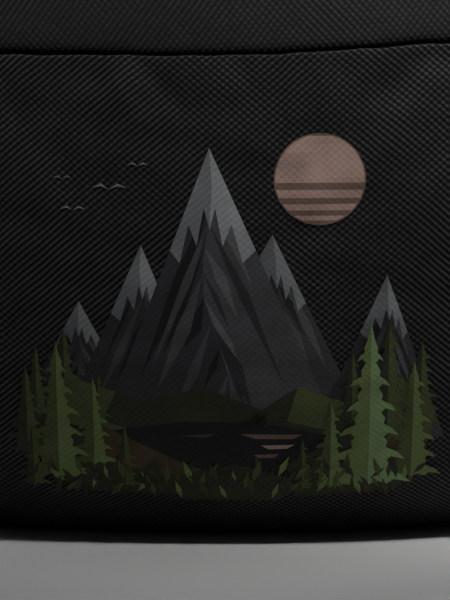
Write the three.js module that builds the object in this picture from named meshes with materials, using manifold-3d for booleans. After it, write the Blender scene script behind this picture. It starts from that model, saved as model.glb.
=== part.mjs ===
// A belt bag (waist bag) of black woven polyester, standing on its base with its belt buckled behind it.
// Millimetres, +Z up. The front faces -Y. The origin is the centre of the flat base.
// The front, the pocket and both zips follow arcs about one upright axis behind the bag, so a zip slider
// that runs along its zip turns about that axis.
import * as THREE from "three";
import { mergeVertices } from "three/addons/utils/BufferGeometryUtils.js";
import Module from "manifold-3d";

const wasm = await Module();
wasm.setup();

// Driving dimensions
const AXIS_Y = 108; // upright axis that the plan arcs turn about
const BACK_Y = 18; // plane of the main body's back
const GAP = 0.3; // between pieces that touch
const BELLY_Z = 78; // height at which the front bulges furthest

const BODY_RADIUS = 157.5; // plan radius of the main body's front at the belly
const BODY_TUCK = 32; // how far that front runs in towards the base
const BODY_TUCK_POWER = 2.2;
const BODY_LEAN = 0.0016; // how the front leans back above the belly, per mm squared
const BODY_CORNER = 10;
const TOP_Z = 131; // height of the front top seam
const TOP_RADIUS = 153; // plan radius of that seam
const TOP_SLOPE = 0.14; // the top rises towards the back

const POCKET_RADIUS = 168;
const POCKET_TUCK = 40;
const POCKET_TUCK_POWER = 1.9;
const POCKET_LEAN = 0.0023;
const POCKET_HALF_ANGLE = THREE.MathUtils.degToRad(40);
const POCKET_FLAT_ANGLE = THREE.MathUtils.degToRad(33); // full depth out to this angle
const POCKET_LOW_Z = 1.2;
const POCKET_TOP_Z = 97;
const POCKET_SIDE_SHARE = 0.22; // depth left at the pocket's side seam
const CHANNEL_FLOOR_Z = 84; // the covered zip lies between here and the pocket's top edge
const LIP_THICKNESS = 2.5;

const ZIP_TAPE = 0.8;
const ZIP_HALF_WIDTH = 5;
const COIL_HALF_WIDTH = 2.4;
const COIL_HEIGHT = 2;
const MAIN_ZIP_RADIUS = 144;
const MAIN_ZIP_HALF_ANGLE = THREE.MathUtils.degToRad(41);
const MAIN_SLIDER_ANGLE = THREE.MathUtils.degToRad(-35);
const POCKET_ZIP_Z = 90.5;
const POCKET_ZIP_HALF_ANGLE = THREE.MathUtils.degToRad(36);
const POCKET_SLIDER_ANGLE = THREE.MathUtils.degToRad(31);

const PAD_THICKNESS = 6;
const PAD_LOW_Z = 5;

const BELT_HALF_SPAN = 172; // plan half-width of the belt's loop
const BELT_LOOP_Y = 78; // where the loop is widest
const BELT_DEPTH = 100; // from there to the back of the loop
const BELT_HIGH_Z = 69.5; // height of the belt's middle beside the bag
const BELT_FALL = 0.4; // slope at which the loop falls to the floor behind
const BELT_FALL_START_Y = 20;
const BELT_FALL_BLEND = 70;
const WEBBING_WIDTH = 30;
const WEBBING_THICKNESS = 1.6;

const BUCKLE_WIDTH = 40;
const BUCKLE_THICKNESS = 11;

// Materials
const fabric = new THREE.MeshStandardMaterial({ color: 0x1b1b1c, roughness: 0.85, metalness: 0 });
const mesh = new THREE.MeshStandardMaterial({ color: 0x161617, roughness: 0.95, metalness: 0 });
const webbing = new THREE.MeshStandardMaterial({ color: 0x121213, roughness: 0.75, metalness: 0 });
const tape = new THREE.MeshStandardMaterial({ color: 0x0e0e0f, roughness: 0.8, metalness: 0 });
const plastic = new THREE.MeshStandardMaterial({ color: 0x101010, roughness: 0.45, metalness: 0 });
const enamel = new THREE.MeshStandardMaterial({ color: 0x141414, roughness: 0.35, metalness: 0.8 });
const rubber = new THREE.MeshStandardMaterial({ color: 0x0d0d0d, roughness: 0.6, metalness: 0 });

const group = new THREE.Group();
group.name = "belt_bag";

// Geometry helpers

// A point at an angle from the front, a plan radius and a height.
function onArc(angle, radius, z) {
  return new THREE.Vector3(radius * Math.sin(angle), AXIS_Y - radius * Math.cos(angle), z);
}

function geometryOf(points, triangles) {
  const positions = new Float32Array(points.flatMap((p) => [p.x, p.y, p.z]));
  const geometry = new THREE.BufferGeometry();
  geometry.setAttribute("position", new THREE.BufferAttribute(positions, 3));
  geometry.setIndex(triangles);
  return signedVolume(points, triangles) < 0 ? turnedOut(geometry) : geometry;
}

function signedVolume(points, triangles) {
  let sum = 0;
  const cross = new THREE.Vector3();
  for (let i = 0; i < triangles.length; i += 3) {
    const [a, b, c] = [0, 1, 2].map((k) => points[triangles[i + k]]);
    sum += a.dot(cross.crossVectors(b, c));
  }
  return sum;
}

function turnedOut(geometry) {
  const index = Array.from(geometry.index.array);
  for (let i = 0; i < index.length; i += 3) {
    [index[i + 1], index[i + 2]] = [index[i + 2], index[i + 1]];
  }
  return geometry.setIndex(index);
}

// Closed body through rings of equal point count. Each end is closed by triangulating its outline, or
// without an outline by a fan about its middle.
function loft(rings, capOutline = null) {
  const n = rings[0].length;
  const points = rings.flat();
  const triangles = [];
  for (let k = 0; k + 1 < rings.length; k++) {
    for (let i = 0; i < n; i++) {
      const j = (i + 1) % n;
      const [a, b, c, d] = [k * n + i, k * n + j, (k + 1) * n + j, (k + 1) * n + i];
      triangles.push(a, b, c, a, c, d);
    }
  }
  const last = (rings.length - 1) * n;
  if (capOutline) {
    for (const [a, b, c] of THREE.ShapeUtils.triangulateShape(capOutline, [])) {
      triangles.push(c, b, a, last + a, last + b, last + c);
    }
    return geometryOf(points, triangles);
  }
  for (const ring of [rings[0], rings[rings.length - 1]]) {
    const middle = new THREE.Vector3();
    ring.forEach((p) => middle.addScaledVector(p, 1 / n));
    points.push(middle);
  }
  for (let i = 0; i < n; i++) {
    const j = (i + 1) % n;
    triangles.push(j, i, points.length - 2, last + i, last + j, points.length - 1);
  }
  return geometryOf(points, triangles);
}

// Closed body between two grids of points, rows by columns, that share their outline's layout.
function slab(outer, inner) {
  const rows = outer.length;
  const columns = outer[0].length;
  const points = [...outer.flat(), ...inner.flat()];
  const half = rows * columns;
  const triangles = [];
  const at = (r, c) => r * columns + c;
  for (let r = 0; r + 1 < rows; r++) {
    for (let c = 0; c + 1 < columns; c++) {
      const [a, b, d, e] = [at(r, c), at(r, c + 1), at(r + 1, c + 1), at(r + 1, c)];
      triangles.push(a, b, d, a, d, e);
      triangles.push(half + a, half + d, half + b, half + a, half + e, half + d);
    }
  }
  const rim = [];
  for (let c = 0; c < columns; c++) rim.push(at(0, c));
  for (let r = 1; r < rows; r++) rim.push(at(r, columns - 1));
  for (let c = columns - 2; c >= 0; c--) rim.push(at(rows - 1, c));
  for (let r = rows - 2; r > 0; r--) rim.push(at(r, 0));
  rim.forEach((a, i) => {
    const b = rim[(i + 1) % rim.length];
    triangles.push(a, half + a, half + b, a, half + b, b);
  });
  return geometryOf(points, triangles);
}

// A flat shape given a thickness, centred on its own plane.
function plate(shape, thickness, bevel = 0, curveSegments = 6) {
  const geometry = new THREE.ExtrudeGeometry(shape, {
    depth: thickness - 2 * bevel,
    bevelEnabled: bevel > 0,
    bevelThickness: bevel,
    bevelSize: bevel,
    bevelOffset: -bevel,
    bevelSegments: 1,
    curveSegments,
  });
  return geometry.translate(0, 0, bevel - thickness / 2);
}

function roundedRectangle(x0, y0, x1, y1, radius) {
  const shape = new THREE.Shape();
  shape.moveTo(x0 + radius, y0);
  shape.lineTo(x1 - radius, y0);
  shape.absarc(x1 - radius, y0 + radius, radius, -Math.PI / 2, 0);
  shape.lineTo(x1, y1 - radius);
  shape.absarc(x1 - radius, y1 - radius, radius, 0, Math.PI / 2);
  shape.lineTo(x0 + radius, y1);
  shape.absarc(x0 + radius, y1 - radius, radius, Math.PI / 2, Math.PI);
  shape.lineTo(x0, y0 + radius);
  shape.absarc(x0 + radius, y0 + radius, radius, Math.PI, 1.5 * Math.PI);
  return shape;
}

function block(x0, y0, z0, x1, y1, z1) {
  const geometry = new THREE.BoxGeometry(x1 - x0, y1 - y0, z1 - z0);
  return geometry.translate((x0 + x1) / 2, (y0 + y1) / 2, (z0 + z1) / 2);
}

// manifold-3d joins and cuts these solids.
function solid(geometry) {
  const bare = geometry.clone();
  bare.deleteAttribute("normal");
  bare.deleteAttribute("uv");
  const merged = mergeVertices(bare, 1e-4);
  return new wasm.Manifold(
    new wasm.Mesh({
      numProp: 3,
      vertProperties: merged.attributes.position.array,
      triVerts: new Uint32Array(merged.index.array),
    }),
  );
}

function fromSolid(made) {
  const largest = made.decompose().sort((a, b) => b.volume() - a.volume())[0];
  const m = largest.getMesh();
  const geometry = new THREE.BufferGeometry();
  geometry.setAttribute("position", new THREE.BufferAttribute(new Float32Array(m.vertProperties), 3));
  return geometry.setIndex(new THREE.BufferAttribute(new Uint32Array(m.triVerts), 1));
}

function add(name, geometry, material, matrix = null) {
  const node = new THREE.Mesh(geometry, material);
  node.name = name;
  if (matrix) node.applyMatrix4(matrix);
  group.add(node);
  return node;
}

// Main body

// How far a bulging front has run in at a height below the belly: a quarter of a superellipse.
function tuckedIn(z, tuck, power) {
  const share = Math.min(1, Math.max(0, (BELLY_Z - z) / BELLY_Z));
  return tuck * (1 - (1 - share ** power) ** (1 / power));
}

function bodyRadius(z) {
  const lean = BODY_LEAN * Math.max(0, z - BELLY_Z) ** 2;
  return BODY_RADIUS - tuckedIn(z, BODY_TUCK, BODY_TUCK_POWER) - lean;
}

function pocketRadius(z) {
  const lean = POCKET_LEAN * Math.max(0, z - BELLY_Z) ** 2;
  return POCKET_RADIUS - tuckedIn(z, POCKET_TUCK, POCKET_TUCK_POWER) - lean;
}

// Plan outline: the front arc, a rounded corner, the straight back and the other corner.
function planOutline(radius, backY, corner) {
  const cornerX = cornerCentreX(radius, backY, corner);
  const reach = Math.asin(cornerX / (radius - corner));
  const outline = [];
  const frontSteps = 30;
  const cornerSteps = 5;
  const backSteps = 12;
  for (let i = 0; i < frontSteps; i++) {
    const p = onArc(-reach + (2 * reach * i) / frontSteps, radius, 0);
    outline.push(new THREE.Vector2(p.x, p.y));
  }
  for (let i = 0; i < cornerSteps; i++) {
    const a = THREE.MathUtils.lerp(reach - Math.PI / 2, Math.PI / 2, i / cornerSteps);
    outline.push(new THREE.Vector2(cornerX + corner * Math.cos(a), backY - corner + corner * Math.sin(a)));
  }
  for (let i = 0; i < backSteps; i++) {
    outline.push(new THREE.Vector2(cornerX * (1 - (2 * i) / backSteps), backY));
  }
  for (let i = 0; i < cornerSteps; i++) {
    const a = THREE.MathUtils.lerp(Math.PI / 2, (3 * Math.PI) / 2 - reach, i / cornerSteps);
    outline.push(new THREE.Vector2(-cornerX + corner * Math.cos(a), backY - corner + corner * Math.sin(a)));
  }
  return outline;
}

function cornerCentreX(radius, backY, corner) {
  return Math.sqrt((radius - corner) ** 2 - (AXIS_Y - backY + corner) ** 2);
}

// The top is part of a cone about the same upright axis.
function topZ(x, y) {
  return TOP_Z + TOP_SLOPE * Math.max(0, TOP_RADIUS - Math.hypot(x, y - AXIS_Y));
}

// Walls of the body, with the piped top seam as a bead, then the sloping top.
function bodyGeometry(grow = 0) {
  const rings = [];
  const capRing = (radius, backY, corner, height) => {
    rings.push(planOutline(radius, backY, corner).map((p) => new THREE.Vector3(p.x, p.y, height(p.x, p.y))));
  };
  const baseRadius = bodyRadius(0);
  capRing(baseRadius - 6 + grow, BACK_Y - 7 + grow, 5, () => -grow);
  capRing(baseRadius + grow, BACK_Y - 3 + grow, 7, () => -grow);
  for (const z of [1.2, 4, 9, 16, 26, 40, 58, 78, 97, 112, 126]) {
    const back = BACK_Y - 3 * Math.max(0, 1 - z / 9) ** 2 + grow;
    capRing(bodyRadius(z) + grow, back, BODY_CORNER, (x, y) => (z * topZ(x, y)) / TOP_Z);
  }
  const bead = [
    [-2.6, 0.4],
    [-1.6, 1.7],
    [0, 2.1],
    [1.3, 1.2],
    [1.1, -0.8],
  ];
  for (const [up, out] of bead) {
    capRing(TOP_RADIUS + out + grow, BACK_Y + out + grow, BODY_CORNER, (x, y) => topZ(x, y) + up + grow);
  }
  // The top's rings shrink to a narrow lens, so that its facets follow the cone.
  const lens = (share) => [TOP_RADIUS - 33 * share, BACK_Y - 22 * share, BODY_CORNER - 8 * share];
  for (const share of [0.09, 0.4, 0.7, 1]) {
    capRing(...lens(share), (x, y) => topZ(x, y) + grow);
  }
  return loft(rings);
}

add("main_body", bodyGeometry(), fabric);

// Front pocket, with a lip that covers its zip

function pocketSideAngle(z) {
  const low = Math.max(0, 1 - z / 40);
  return POCKET_HALF_ANGLE * (1 - 0.3 * low ** 3);
}

function pocketDepthShare(angle, sideAngle) {
  const flat = Math.min(POCKET_FLAT_ANGLE, sideAngle * 0.825);
  const out = Math.min(1, Math.max(0, (Math.abs(angle) - flat) / (sideAngle - flat)));
  return POCKET_SIDE_SHARE + (1 - POCKET_SIDE_SHARE) * Math.sqrt(1 - out * out);
}

function pocketGeometry() {
  const columns = 28;
  const rows = [POCKET_LOW_Z, 4, 9, 16, 26, 40, 58, 72, CHANNEL_FLOOR_Z - 1, CHANNEL_FLOOR_Z + 1, 91, 96, POCKET_TOP_Z];
  const outer = [];
  const inner = [];
  rows.forEach((z, row) => {
    const sideAngle = pocketSideAngle(z);
    const inChannel = z > CHANNEL_FLOOR_Z;
    const innerZ = Math.abs(z - CHANNEL_FLOOR_Z) === 1 ? CHANNEL_FLOOR_Z : z;
    const rolled = row === rows.length - 1 ? 0.7 : 0; // the lip's folded edge
    const outerLine = [];
    const innerLine = [];
    for (let c = 0; c <= columns; c++) {
      const angle = sideAngle * Math.sin((Math.PI / 2) * ((2 * c) / columns - 1) * 0.62) / Math.sin(0.31 * Math.PI);
      const seat = bodyRadius(z) + GAP;
      const depth = (pocketRadius(z) - seat) * pocketDepthShare(angle, sideAngle);
      const face = seat + Math.max(1.2, depth);
      outerLine.push(onArc(angle, face - rolled, z));
      const lip = Math.max(seat, face - LIP_THICKNESS);
      innerLine.push(onArc(angle, inChannel ? lip + rolled * (lip > seat) : seat, innerZ));
    }
    outer.push(outerLine);
    inner.push(innerLine);
  });
  return slab(outer, inner);
}

add("front_pocket", pocketGeometry(), fabric);

// Zips: a flat tape with the closed coil as a ridge, swept along an arc. The section is in the arc's own
// frame, across the tape and out from it.

function zipSection() {
  const points = [
    [-ZIP_HALF_WIDTH, 0],
    [ZIP_HALF_WIDTH, 0],
    [ZIP_HALF_WIDTH, ZIP_TAPE],
    [COIL_HALF_WIDTH, ZIP_TAPE],
    [COIL_HALF_WIDTH - 0.5, ZIP_TAPE + COIL_HEIGHT],
    [-COIL_HALF_WIDTH + 0.5, ZIP_TAPE + COIL_HEIGHT],
    [-COIL_HALF_WIDTH, ZIP_TAPE],
    [-ZIP_HALF_WIDTH, ZIP_TAPE],
  ];
  return points.map(([x, y]) => new THREE.Vector2(x, y));
}

// across and out are directions in the radius and height plane, as [radius, z].
function zipGeometry(halfAngle, radius, z, across, out, steps) {
  const section = zipSection();
  const rings = [];
  for (let i = 0; i <= steps; i++) {
    const angle = THREE.MathUtils.lerp(-halfAngle, halfAngle, i / steps);
    rings.push(
      section.map((p) =>
        onArc(angle, radius + p.x * across[0] + p.y * out[0], z + p.x * across[1] + p.y * out[1]),
      ),
    );
  }
  return loft(rings, section);
}

const topTilt = Math.atan(TOP_SLOPE);
const topAcross = [Math.cos(topTilt), -Math.sin(topTilt)];
const topOut = [Math.sin(topTilt), Math.cos(topTilt)];
const mainZipZ = TOP_Z + TOP_SLOPE * (TOP_RADIUS - MAIN_ZIP_RADIUS) + GAP;
add("main_zip", zipGeometry(MAIN_ZIP_HALF_ANGLE, MAIN_ZIP_RADIUS, mainZipZ, topAcross, topOut, 34), tape);

const pocketZipRadius = bodyRadius(POCKET_ZIP_Z) + GAP + 0.15;
add("pocket_zip", zipGeometry(POCKET_ZIP_HALF_ANGLE, pocketZipRadius, POCKET_ZIP_Z, [0, 1], [1, 0], 30), tape);

// Zip end patches on the main zip
const END_PATCH_ANGLE = THREE.MathUtils.degToRad(2.4);
for (const [side, name] of [[-1, "main_zip_end_left"], [1, "main_zip_end_right"]]) {
  const from = side * (MAIN_ZIP_HALF_ANGLE + 0.003);
  const to = from + side * END_PATCH_ANGLE;
  const rows = [from, (from + to) / 2, to];
  const grid = (out) =>
    rows.map((angle) =>
      [-6, 0, 6].map((x) =>
        onArc(
          angle,
          MAIN_ZIP_RADIUS + x * topAcross[0] + out * topOut[0],
          mainZipZ + x * topAcross[1] + out * topOut[1],
        ),
      ),
    );
  add(name, slab(grid(1.6), grid(0)), fabric);
}

// Zip sliders. In their own frame X runs along the zip, Y across it and Z out from the tape.

const SLIDER_LENGTH = 13;
const SLIDER_HALF_WIDTH = 4.6;
const SLIDER_TOP = 4.4;

function sliderBody() {
  const plan = new THREE.Shape();
  const half = SLIDER_LENGTH / 2;
  plan.moveTo(-half, -SLIDER_HALF_WIDTH + 1);
  plan.lineTo(0, -SLIDER_HALF_WIDTH + 0.9);
  plan.lineTo(half - 2.5, -SLIDER_HALF_WIDTH);
  plan.absarc(half - 2.5, 0, SLIDER_HALF_WIDTH, -Math.PI / 2, Math.PI / 2);
  plan.lineTo(0, SLIDER_HALF_WIDTH - 0.9);
  plan.lineTo(-half, SLIDER_HALF_WIDTH - 1);
  const low = ZIP_TAPE + GAP;
  const body = solid(plate(plan, SLIDER_TOP - low, 0.4).translate(0, 0, (SLIDER_TOP + low) / 2));
  const groove = COIL_HALF_WIDTH + 0.4;
  return body.subtract(solid(block(-20, -groove, 0, 20, groove, ZIP_TAPE + COIL_HEIGHT + GAP)));
}

function frameMatrix(along, across, out, origin) {
  return new THREE.Matrix4().makeBasis(along, across, out).setPosition(origin);
}

const BAIL_HALF = 4;
const BAIL_HEIGHT = 2.9;

function bail() {
  const arch = new THREE.Shape();
  arch.moveTo(-BAIL_HALF, -0.3);
  arch.lineTo(BAIL_HALF, -0.3);
  arch.lineTo(BAIL_HALF, BAIL_HEIGHT - 1);
  arch.lineTo(BAIL_HALF - 1, BAIL_HEIGHT);
  arch.lineTo(-BAIL_HALF + 1, BAIL_HEIGHT);
  arch.lineTo(-BAIL_HALF, BAIL_HEIGHT - 1);
  const hole = new THREE.Path();
  hole.moveTo(-2.6, 0.05);
  hole.lineTo(-2.6, 2.1);
  hole.lineTo(2.6, 2.1);
  hole.lineTo(2.6, 0.05);
  arch.holes.push(hole);
  return plate(arch, 2.2).rotateX(Math.PI / 2).translate(0, 0, SLIDER_TOP);
}

const mainAngle = MAIN_SLIDER_ANGLE;
const alongMain = new THREE.Vector3(Math.cos(mainAngle), Math.sin(mainAngle), 0);
const outMain = new THREE.Vector3(
  topOut[0] * Math.sin(mainAngle),
  -topOut[0] * Math.cos(mainAngle),
  topOut[1],
);
const acrossMain = new THREE.Vector3().crossVectors(outMain, alongMain);
const mainSeat = frameMatrix(alongMain, acrossMain, outMain, onArc(mainAngle, MAIN_ZIP_RADIUS, mainZipZ));
add("main_slider", fromSolid(sliderBody().add(solid(bail()))), enamel, mainSeat);

// The main pull lies flat along the closed zip. Its crossbar is held under the slider's bail.
const PULL_PIVOT_Z = SLIDER_TOP + 1.1;
const PULL_LENGTH = 27;

function mainPull() {
  const tab = new THREE.Shape();
  tab.moveTo(-0.8, -3.3);
  tab.lineTo(PULL_LENGTH - 3.3, -3.3);
  tab.absarc(PULL_LENGTH - 3.3, 0, 3.3, -Math.PI / 2, Math.PI / 2);
  tab.lineTo(-0.8, 3.3);
  const eye = new THREE.Path();
  eye.moveTo(0.8, -1.6);
  eye.lineTo(0.8, 1.6);
  eye.lineTo(7.5, 1.6);
  eye.lineTo(7.5, -1.6);
  tab.holes.push(eye);
  return plate(tab, 1.5, 0.25);
}

add("main_pull", fromSolid(solid(mainPull())), enamel, mainSeat.clone().multiply(
  new THREE.Matrix4().makeTranslation(0, 0, PULL_PIVOT_Z),
));

// The pocket's slider carries an upright lug that rises past the lip to hold a ring.
const pocketAngle = POCKET_SLIDER_ANGLE;
const alongPocket = new THREE.Vector3(Math.cos(pocketAngle), Math.sin(pocketAngle), 0);
const outPocket = new THREE.Vector3(Math.sin(pocketAngle), -Math.cos(pocketAngle), 0);
const upPocket = new THREE.Vector3(0, 0, 1);
// X along the zip, Y up the bag and Z out from it would be left-handed, so X runs back along the zip.
const pocketSeat = frameMatrix(
  alongPocket.clone().negate(),
  upPocket,
  outPocket,
  onArc(pocketAngle, pocketZipRadius, POCKET_ZIP_Z),
);
const LUG_INNER = SLIDER_TOP - 1.2;
const LUG_BAR_Y = 10.6; // height of the lug's top bar above the zip's middle
const LUG_BAR_HALF = 0.6;

function lug() {
  const shape = roundedRectangle(-3, 3, 3, LUG_BAR_Y + LUG_BAR_HALF, 0.5);
  const hole = new THREE.Path();
  hole.moveTo(-1.7, LUG_BAR_Y - LUG_BAR_HALF);
  hole.lineTo(1.7, LUG_BAR_Y - LUG_BAR_HALF);
  hole.lineTo(1.7, LUG_BAR_Y - LUG_BAR_HALF - 2.4);
  hole.lineTo(-1.7, LUG_BAR_Y - LUG_BAR_HALF - 2.4);
  shape.holes.push(hole);
  return plate(shape, 1.2).translate(0, 0, LUG_INNER + 0.6);
}

add("pocket_slider", fromSolid(sliderBody().add(solid(lug()))), enamel, pocketSeat);

// The pocket's pull: a ring round the lug's bar, an arm over the lip, and a moulded grip that hangs down
// the pocket's face. Drawn in the plane of radius and height, with the bar at its origin.
const PULL_DROP = 40;

function pocketPull() {
  const ring = new THREE.Shape();
  ring.absarc(0, 0, 2.5, 0, 2 * Math.PI);
  const eye = new THREE.Path();
  eye.absarc(0, 0, 1.25, 0, 2 * Math.PI, true);
  ring.holes.push(eye);
  const arm = new THREE.Shape();
  arm.moveTo(1.6, 0.8);
  arm.lineTo(7, 0.8);
  arm.absarc(7, -1, 1.8, Math.PI / 2, 0, true);
  arm.lineTo(8.8, -13);
  arm.lineTo(7.4, -13);
  arm.lineTo(7.4, -1.2);
  arm.lineTo(7, -0.6);
  arm.lineTo(2, -0.6);
  const grip = roundedRectangle(-4, -PULL_DROP, 4, -11, 2.4);
  const gripPlate = plate(grip, 3.2, 0.5).rotateY(Math.PI / 2).translate(8.7, 0, 0);
  // plate() draws in X and Y: here X is the radius and Y the height.
  return solid(plate(ring, 1.7, 0, 8)).add(solid(plate(arm, 1.7))).add(solid(gripPlate));
}

const barPoint = onArc(pocketAngle, pocketZipRadius + LUG_INNER + 0.6, POCKET_ZIP_Z + LUG_BAR_Y);
const pullSeat = frameMatrix(outPocket, upPocket, new THREE.Vector3().crossVectors(outPocket, upPocket), barPoint);
add("pocket_pull", fromSolid(pocketPull()), rubber, pullSeat);

// Padded back

function backPadGeometry() {
  const columns = 16;
  const heights = [PAD_LOW_Z, 9, 16, 26, 40, 58, 78, 97, 112, 122, 126.5];
  const outer = [];
  const inner = [];
  heights.forEach((z, row) => {
    const half = cornerCentreX(bodyRadius(Math.min(z, 126)), BACK_Y, BODY_CORNER) - 3;
    const v = (2 * row) / (heights.length - 1) - 1;
    const outerLine = [];
    const innerLine = [];
    for (let c = 0; c <= columns; c++) {
      const u = (2 * c) / columns - 1;
      const x = half * Math.sin((u * Math.PI) / 2.3) / Math.sin(Math.PI / 2.3);
      const crown = (1 - Math.abs(u) ** 5) * (1 - Math.abs(v) ** 5);
      const thickness = 1.8 + (PAD_THICKNESS - 1.8) * Math.sqrt(Math.max(0, crown));
      const lift = (z / TOP_Z) * (topZ(x, BACK_Y) - TOP_Z);
      outerLine.push(new THREE.Vector3(x, BACK_Y + GAP + thickness, z + lift));
      innerLine.push(new THREE.Vector3(x, BACK_Y + GAP, z + lift));
    }
    outer.push(outerLine);
    inner.push(innerLine);
  });
  return slab(outer, inner);
}

add("back_pad", backPadGeometry(), mesh);

// Belt. Its loop lies in a plane that falls towards the back, where the buckle rests on the floor.

function fallSlope(y) {
  const s = THREE.MathUtils.clamp((y - BELT_FALL_START_Y) / BELT_FALL_BLEND, 0, 1);
  return BELT_FALL * s * s * (3 - 2 * s);
}

function beltZ(y) {
  const s = THREE.MathUtils.clamp((y - BELT_FALL_START_Y) / BELT_FALL_BLEND, 0, 1);
  const blended = BELT_FALL * BELT_FALL_BLEND * (s ** 3 - s ** 4 / 2);
  const straight = BELT_FALL * Math.max(0, y - BELT_FALL_START_Y - BELT_FALL_BLEND);
  return BELT_HIGH_Z - blended - straight;
}

// Plan curve of the right half, from inside the body's corner to the middle of the back.
const wingCurve = new THREE.CubicBezierCurve(
  new THREE.Vector2(100, -2),
  new THREE.Vector2(134, 20),
  new THREE.Vector2(BELT_HALF_SPAN - 2, 40),
  new THREE.Vector2(BELT_HALF_SPAN, BELT_LOOP_Y),
);
const loopCurve = new THREE.EllipseCurve(0, BELT_LOOP_Y, BELT_HALF_SPAN, BELT_DEPTH, 0, Math.PI / 2);
const halfBelt = new THREE.CurvePath();
halfBelt.add(wingCurve);
halfBelt.add(loopCurve);
halfBelt.arcLengthDivisions = 800;
const beltLength = halfBelt.getLength();

// Point, width direction and outward direction of the belt at a distance along the plan curve.
// side is 1 on the right and -1 on the left.
function beltFrame(distance, side) {
  const u = THREE.MathUtils.clamp(distance / beltLength, 0, 1);
  const p = halfBelt.getPointAt(u);
  const t = halfBelt.getTangentAt(Math.min(u, 0.9999));
  const fall = Math.atan(fallSlope(p.y));
  const along = new THREE.Vector3(side * t.x, t.y, -Math.tan(fall) * t.y).normalize();
  const width = new THREE.Vector3(0, Math.sin(fall), Math.cos(fall));
  const out = new THREE.Vector3().crossVectors(along, width).multiplyScalar(side).normalize();
  return { point: new THREE.Vector3(side * p.x, p.y, beltZ(p.y)), width, out };
}

// Strip along the belt between two distances. sizeAt gives half the width, half the thickness and the
// offset outwards at a share of the strip.
function strip(from, to, steps, side, sizeAt, round = 0) {
  const corners = round
    ? [[-1, -round], [-round, -1], [round, -1], [1, -round], [1, round], [round, 1], [-round, 1], [-1, round]]
    : [[-1, -1], [1, -1], [1, 1], [-1, 1]];
  const rings = [];
  for (let i = 0; i <= steps; i++) {
    const share = i / steps;
    const { point, width, out } = beltFrame(THREE.MathUtils.lerp(from, to, share), side);
    const [halfWidth, halfThickness, offset] = sizeAt(share);
    rings.push(
      corners.map(([w, t]) =>
        point
          .clone()
          .addScaledVector(width, w * halfWidth)
          .addScaledVector(out, t * halfThickness + offset),
      ),
    );
  }
  return loft(rings, corners.map(([w, t]) => new THREE.Vector2(w, t)));
}

// Wings: padded side panels that taper to the webbing
const WING_END = 92; // distance along the plan curve
const WING_TIP_HALF = 17;
const WING_ROOT_HALF = 45;
const bodyGrown = solid(bodyGeometry(GAP));
for (const [side, name] of [[-1, "wing_left"], [1, "wing_right"]]) {
  const wing = strip(0, WING_END, 12, side, (share) => {
    const taper = THREE.MathUtils.smoothstep(share, 0.12, 1);
    return [THREE.MathUtils.lerp(WING_ROOT_HALF, WING_TIP_HALF, taper), 3.6 - 1.5 * share, 0];
  }, 0.8);
  add(name, fromSolid(solid(wing).subtract(bodyGrown)), fabric);
}

// Webbing from the wings to the buckle, each end folded round the buckle's bar
const BUCKLE_BAR_X = 28.5;
const FOLD_START_X = 50;
const FOLD_RADIUS = 2.9;
const rearY = BELT_LOOP_Y + BELT_DEPTH;
const rear = beltFrame(beltLength, 1);
const buckleOut = new THREE.Vector3(0, rear.width.z, -rear.width.y);
// In the buckle's frame X runs along the bag's X, Y up the webbing's width and Z outwards, so it is
// left-handed unless X is turned: turnedX runs along -X.
const turnedX = new THREE.Vector3().crossVectors(rear.width, buckleOut);
const rearPoint = new THREE.Vector3(0, rearY, beltZ(rearY));
const buckleSeat = frameMatrix(turnedX, rear.width, buckleOut, rearPoint);

// The fold in the plane along and out from the belt, drawn from the buckle's middle: in along the inside,
// round the bar and back down onto the strap, at a lift from the strap's middle to its own.
function foldGeometry(side, lift, returnX) {
  const h = WEBBING_THICKNESS / 2;
  const inside = -FOLD_RADIUS;
  const landX = BUCKLE_BAR_X + 11;
  const shape = new THREE.Shape();
  shape.moveTo(FOLD_START_X + 3, inside - h - 1.35);
  shape.lineTo(FOLD_START_X - 8, inside - h - 0.2);
  shape.lineTo(BUCKLE_BAR_X, inside - h);
  shape.absarc(BUCKLE_BAR_X, 0, FOLD_RADIUS + h, -Math.PI / 2, Math.PI / 2, true);
  shape.lineTo(BUCKLE_BAR_X + 1.5, FOLD_RADIUS + h - 0.1);
  shape.lineTo(landX, inside + lift + h + 0.1);
  shape.lineTo(returnX, inside + lift + h - 1.35);
  shape.lineTo(returnX, inside + lift - h - 1.35);
  shape.lineTo(landX, inside + lift - h - 0.1);
  shape.lineTo(BUCKLE_BAR_X + 0.6, FOLD_RADIUS - h);
  shape.absarc(BUCKLE_BAR_X, 0, FOLD_RADIUS - h, Math.PI / 2, -Math.PI / 2, false);
  shape.lineTo(FOLD_START_X - 8, inside + h - 0.2);
  shape.lineTo(FOLD_START_X + 3, inside + h - 1.35);
  const geometry = plate(shape, WEBBING_WIDTH, 0, 5);
  // Drawn X becomes the buckle's X on its own side, drawn Y points out and the thickness runs up the width.
  const basis = new THREE.Matrix4().makeBasis(
    new THREE.Vector3(-side, 0, 0),
    new THREE.Vector3(0, 0, 1),
    new THREE.Vector3(0, side, 0),
  );
  return geometry.applyMatrix4(basis).applyMatrix4(buckleSeat);
}

function distanceAtX(x) {
  let [low, high] = [0, beltLength];
  for (let i = 0; i < 50; i++) {
    const middle = (low + high) / 2;
    const p = halfBelt.getPointAt(middle / beltLength);
    if (p.y > BELT_LOOP_Y && p.x < x) high = middle;
    else low = middle;
  }
  return low;
}

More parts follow.
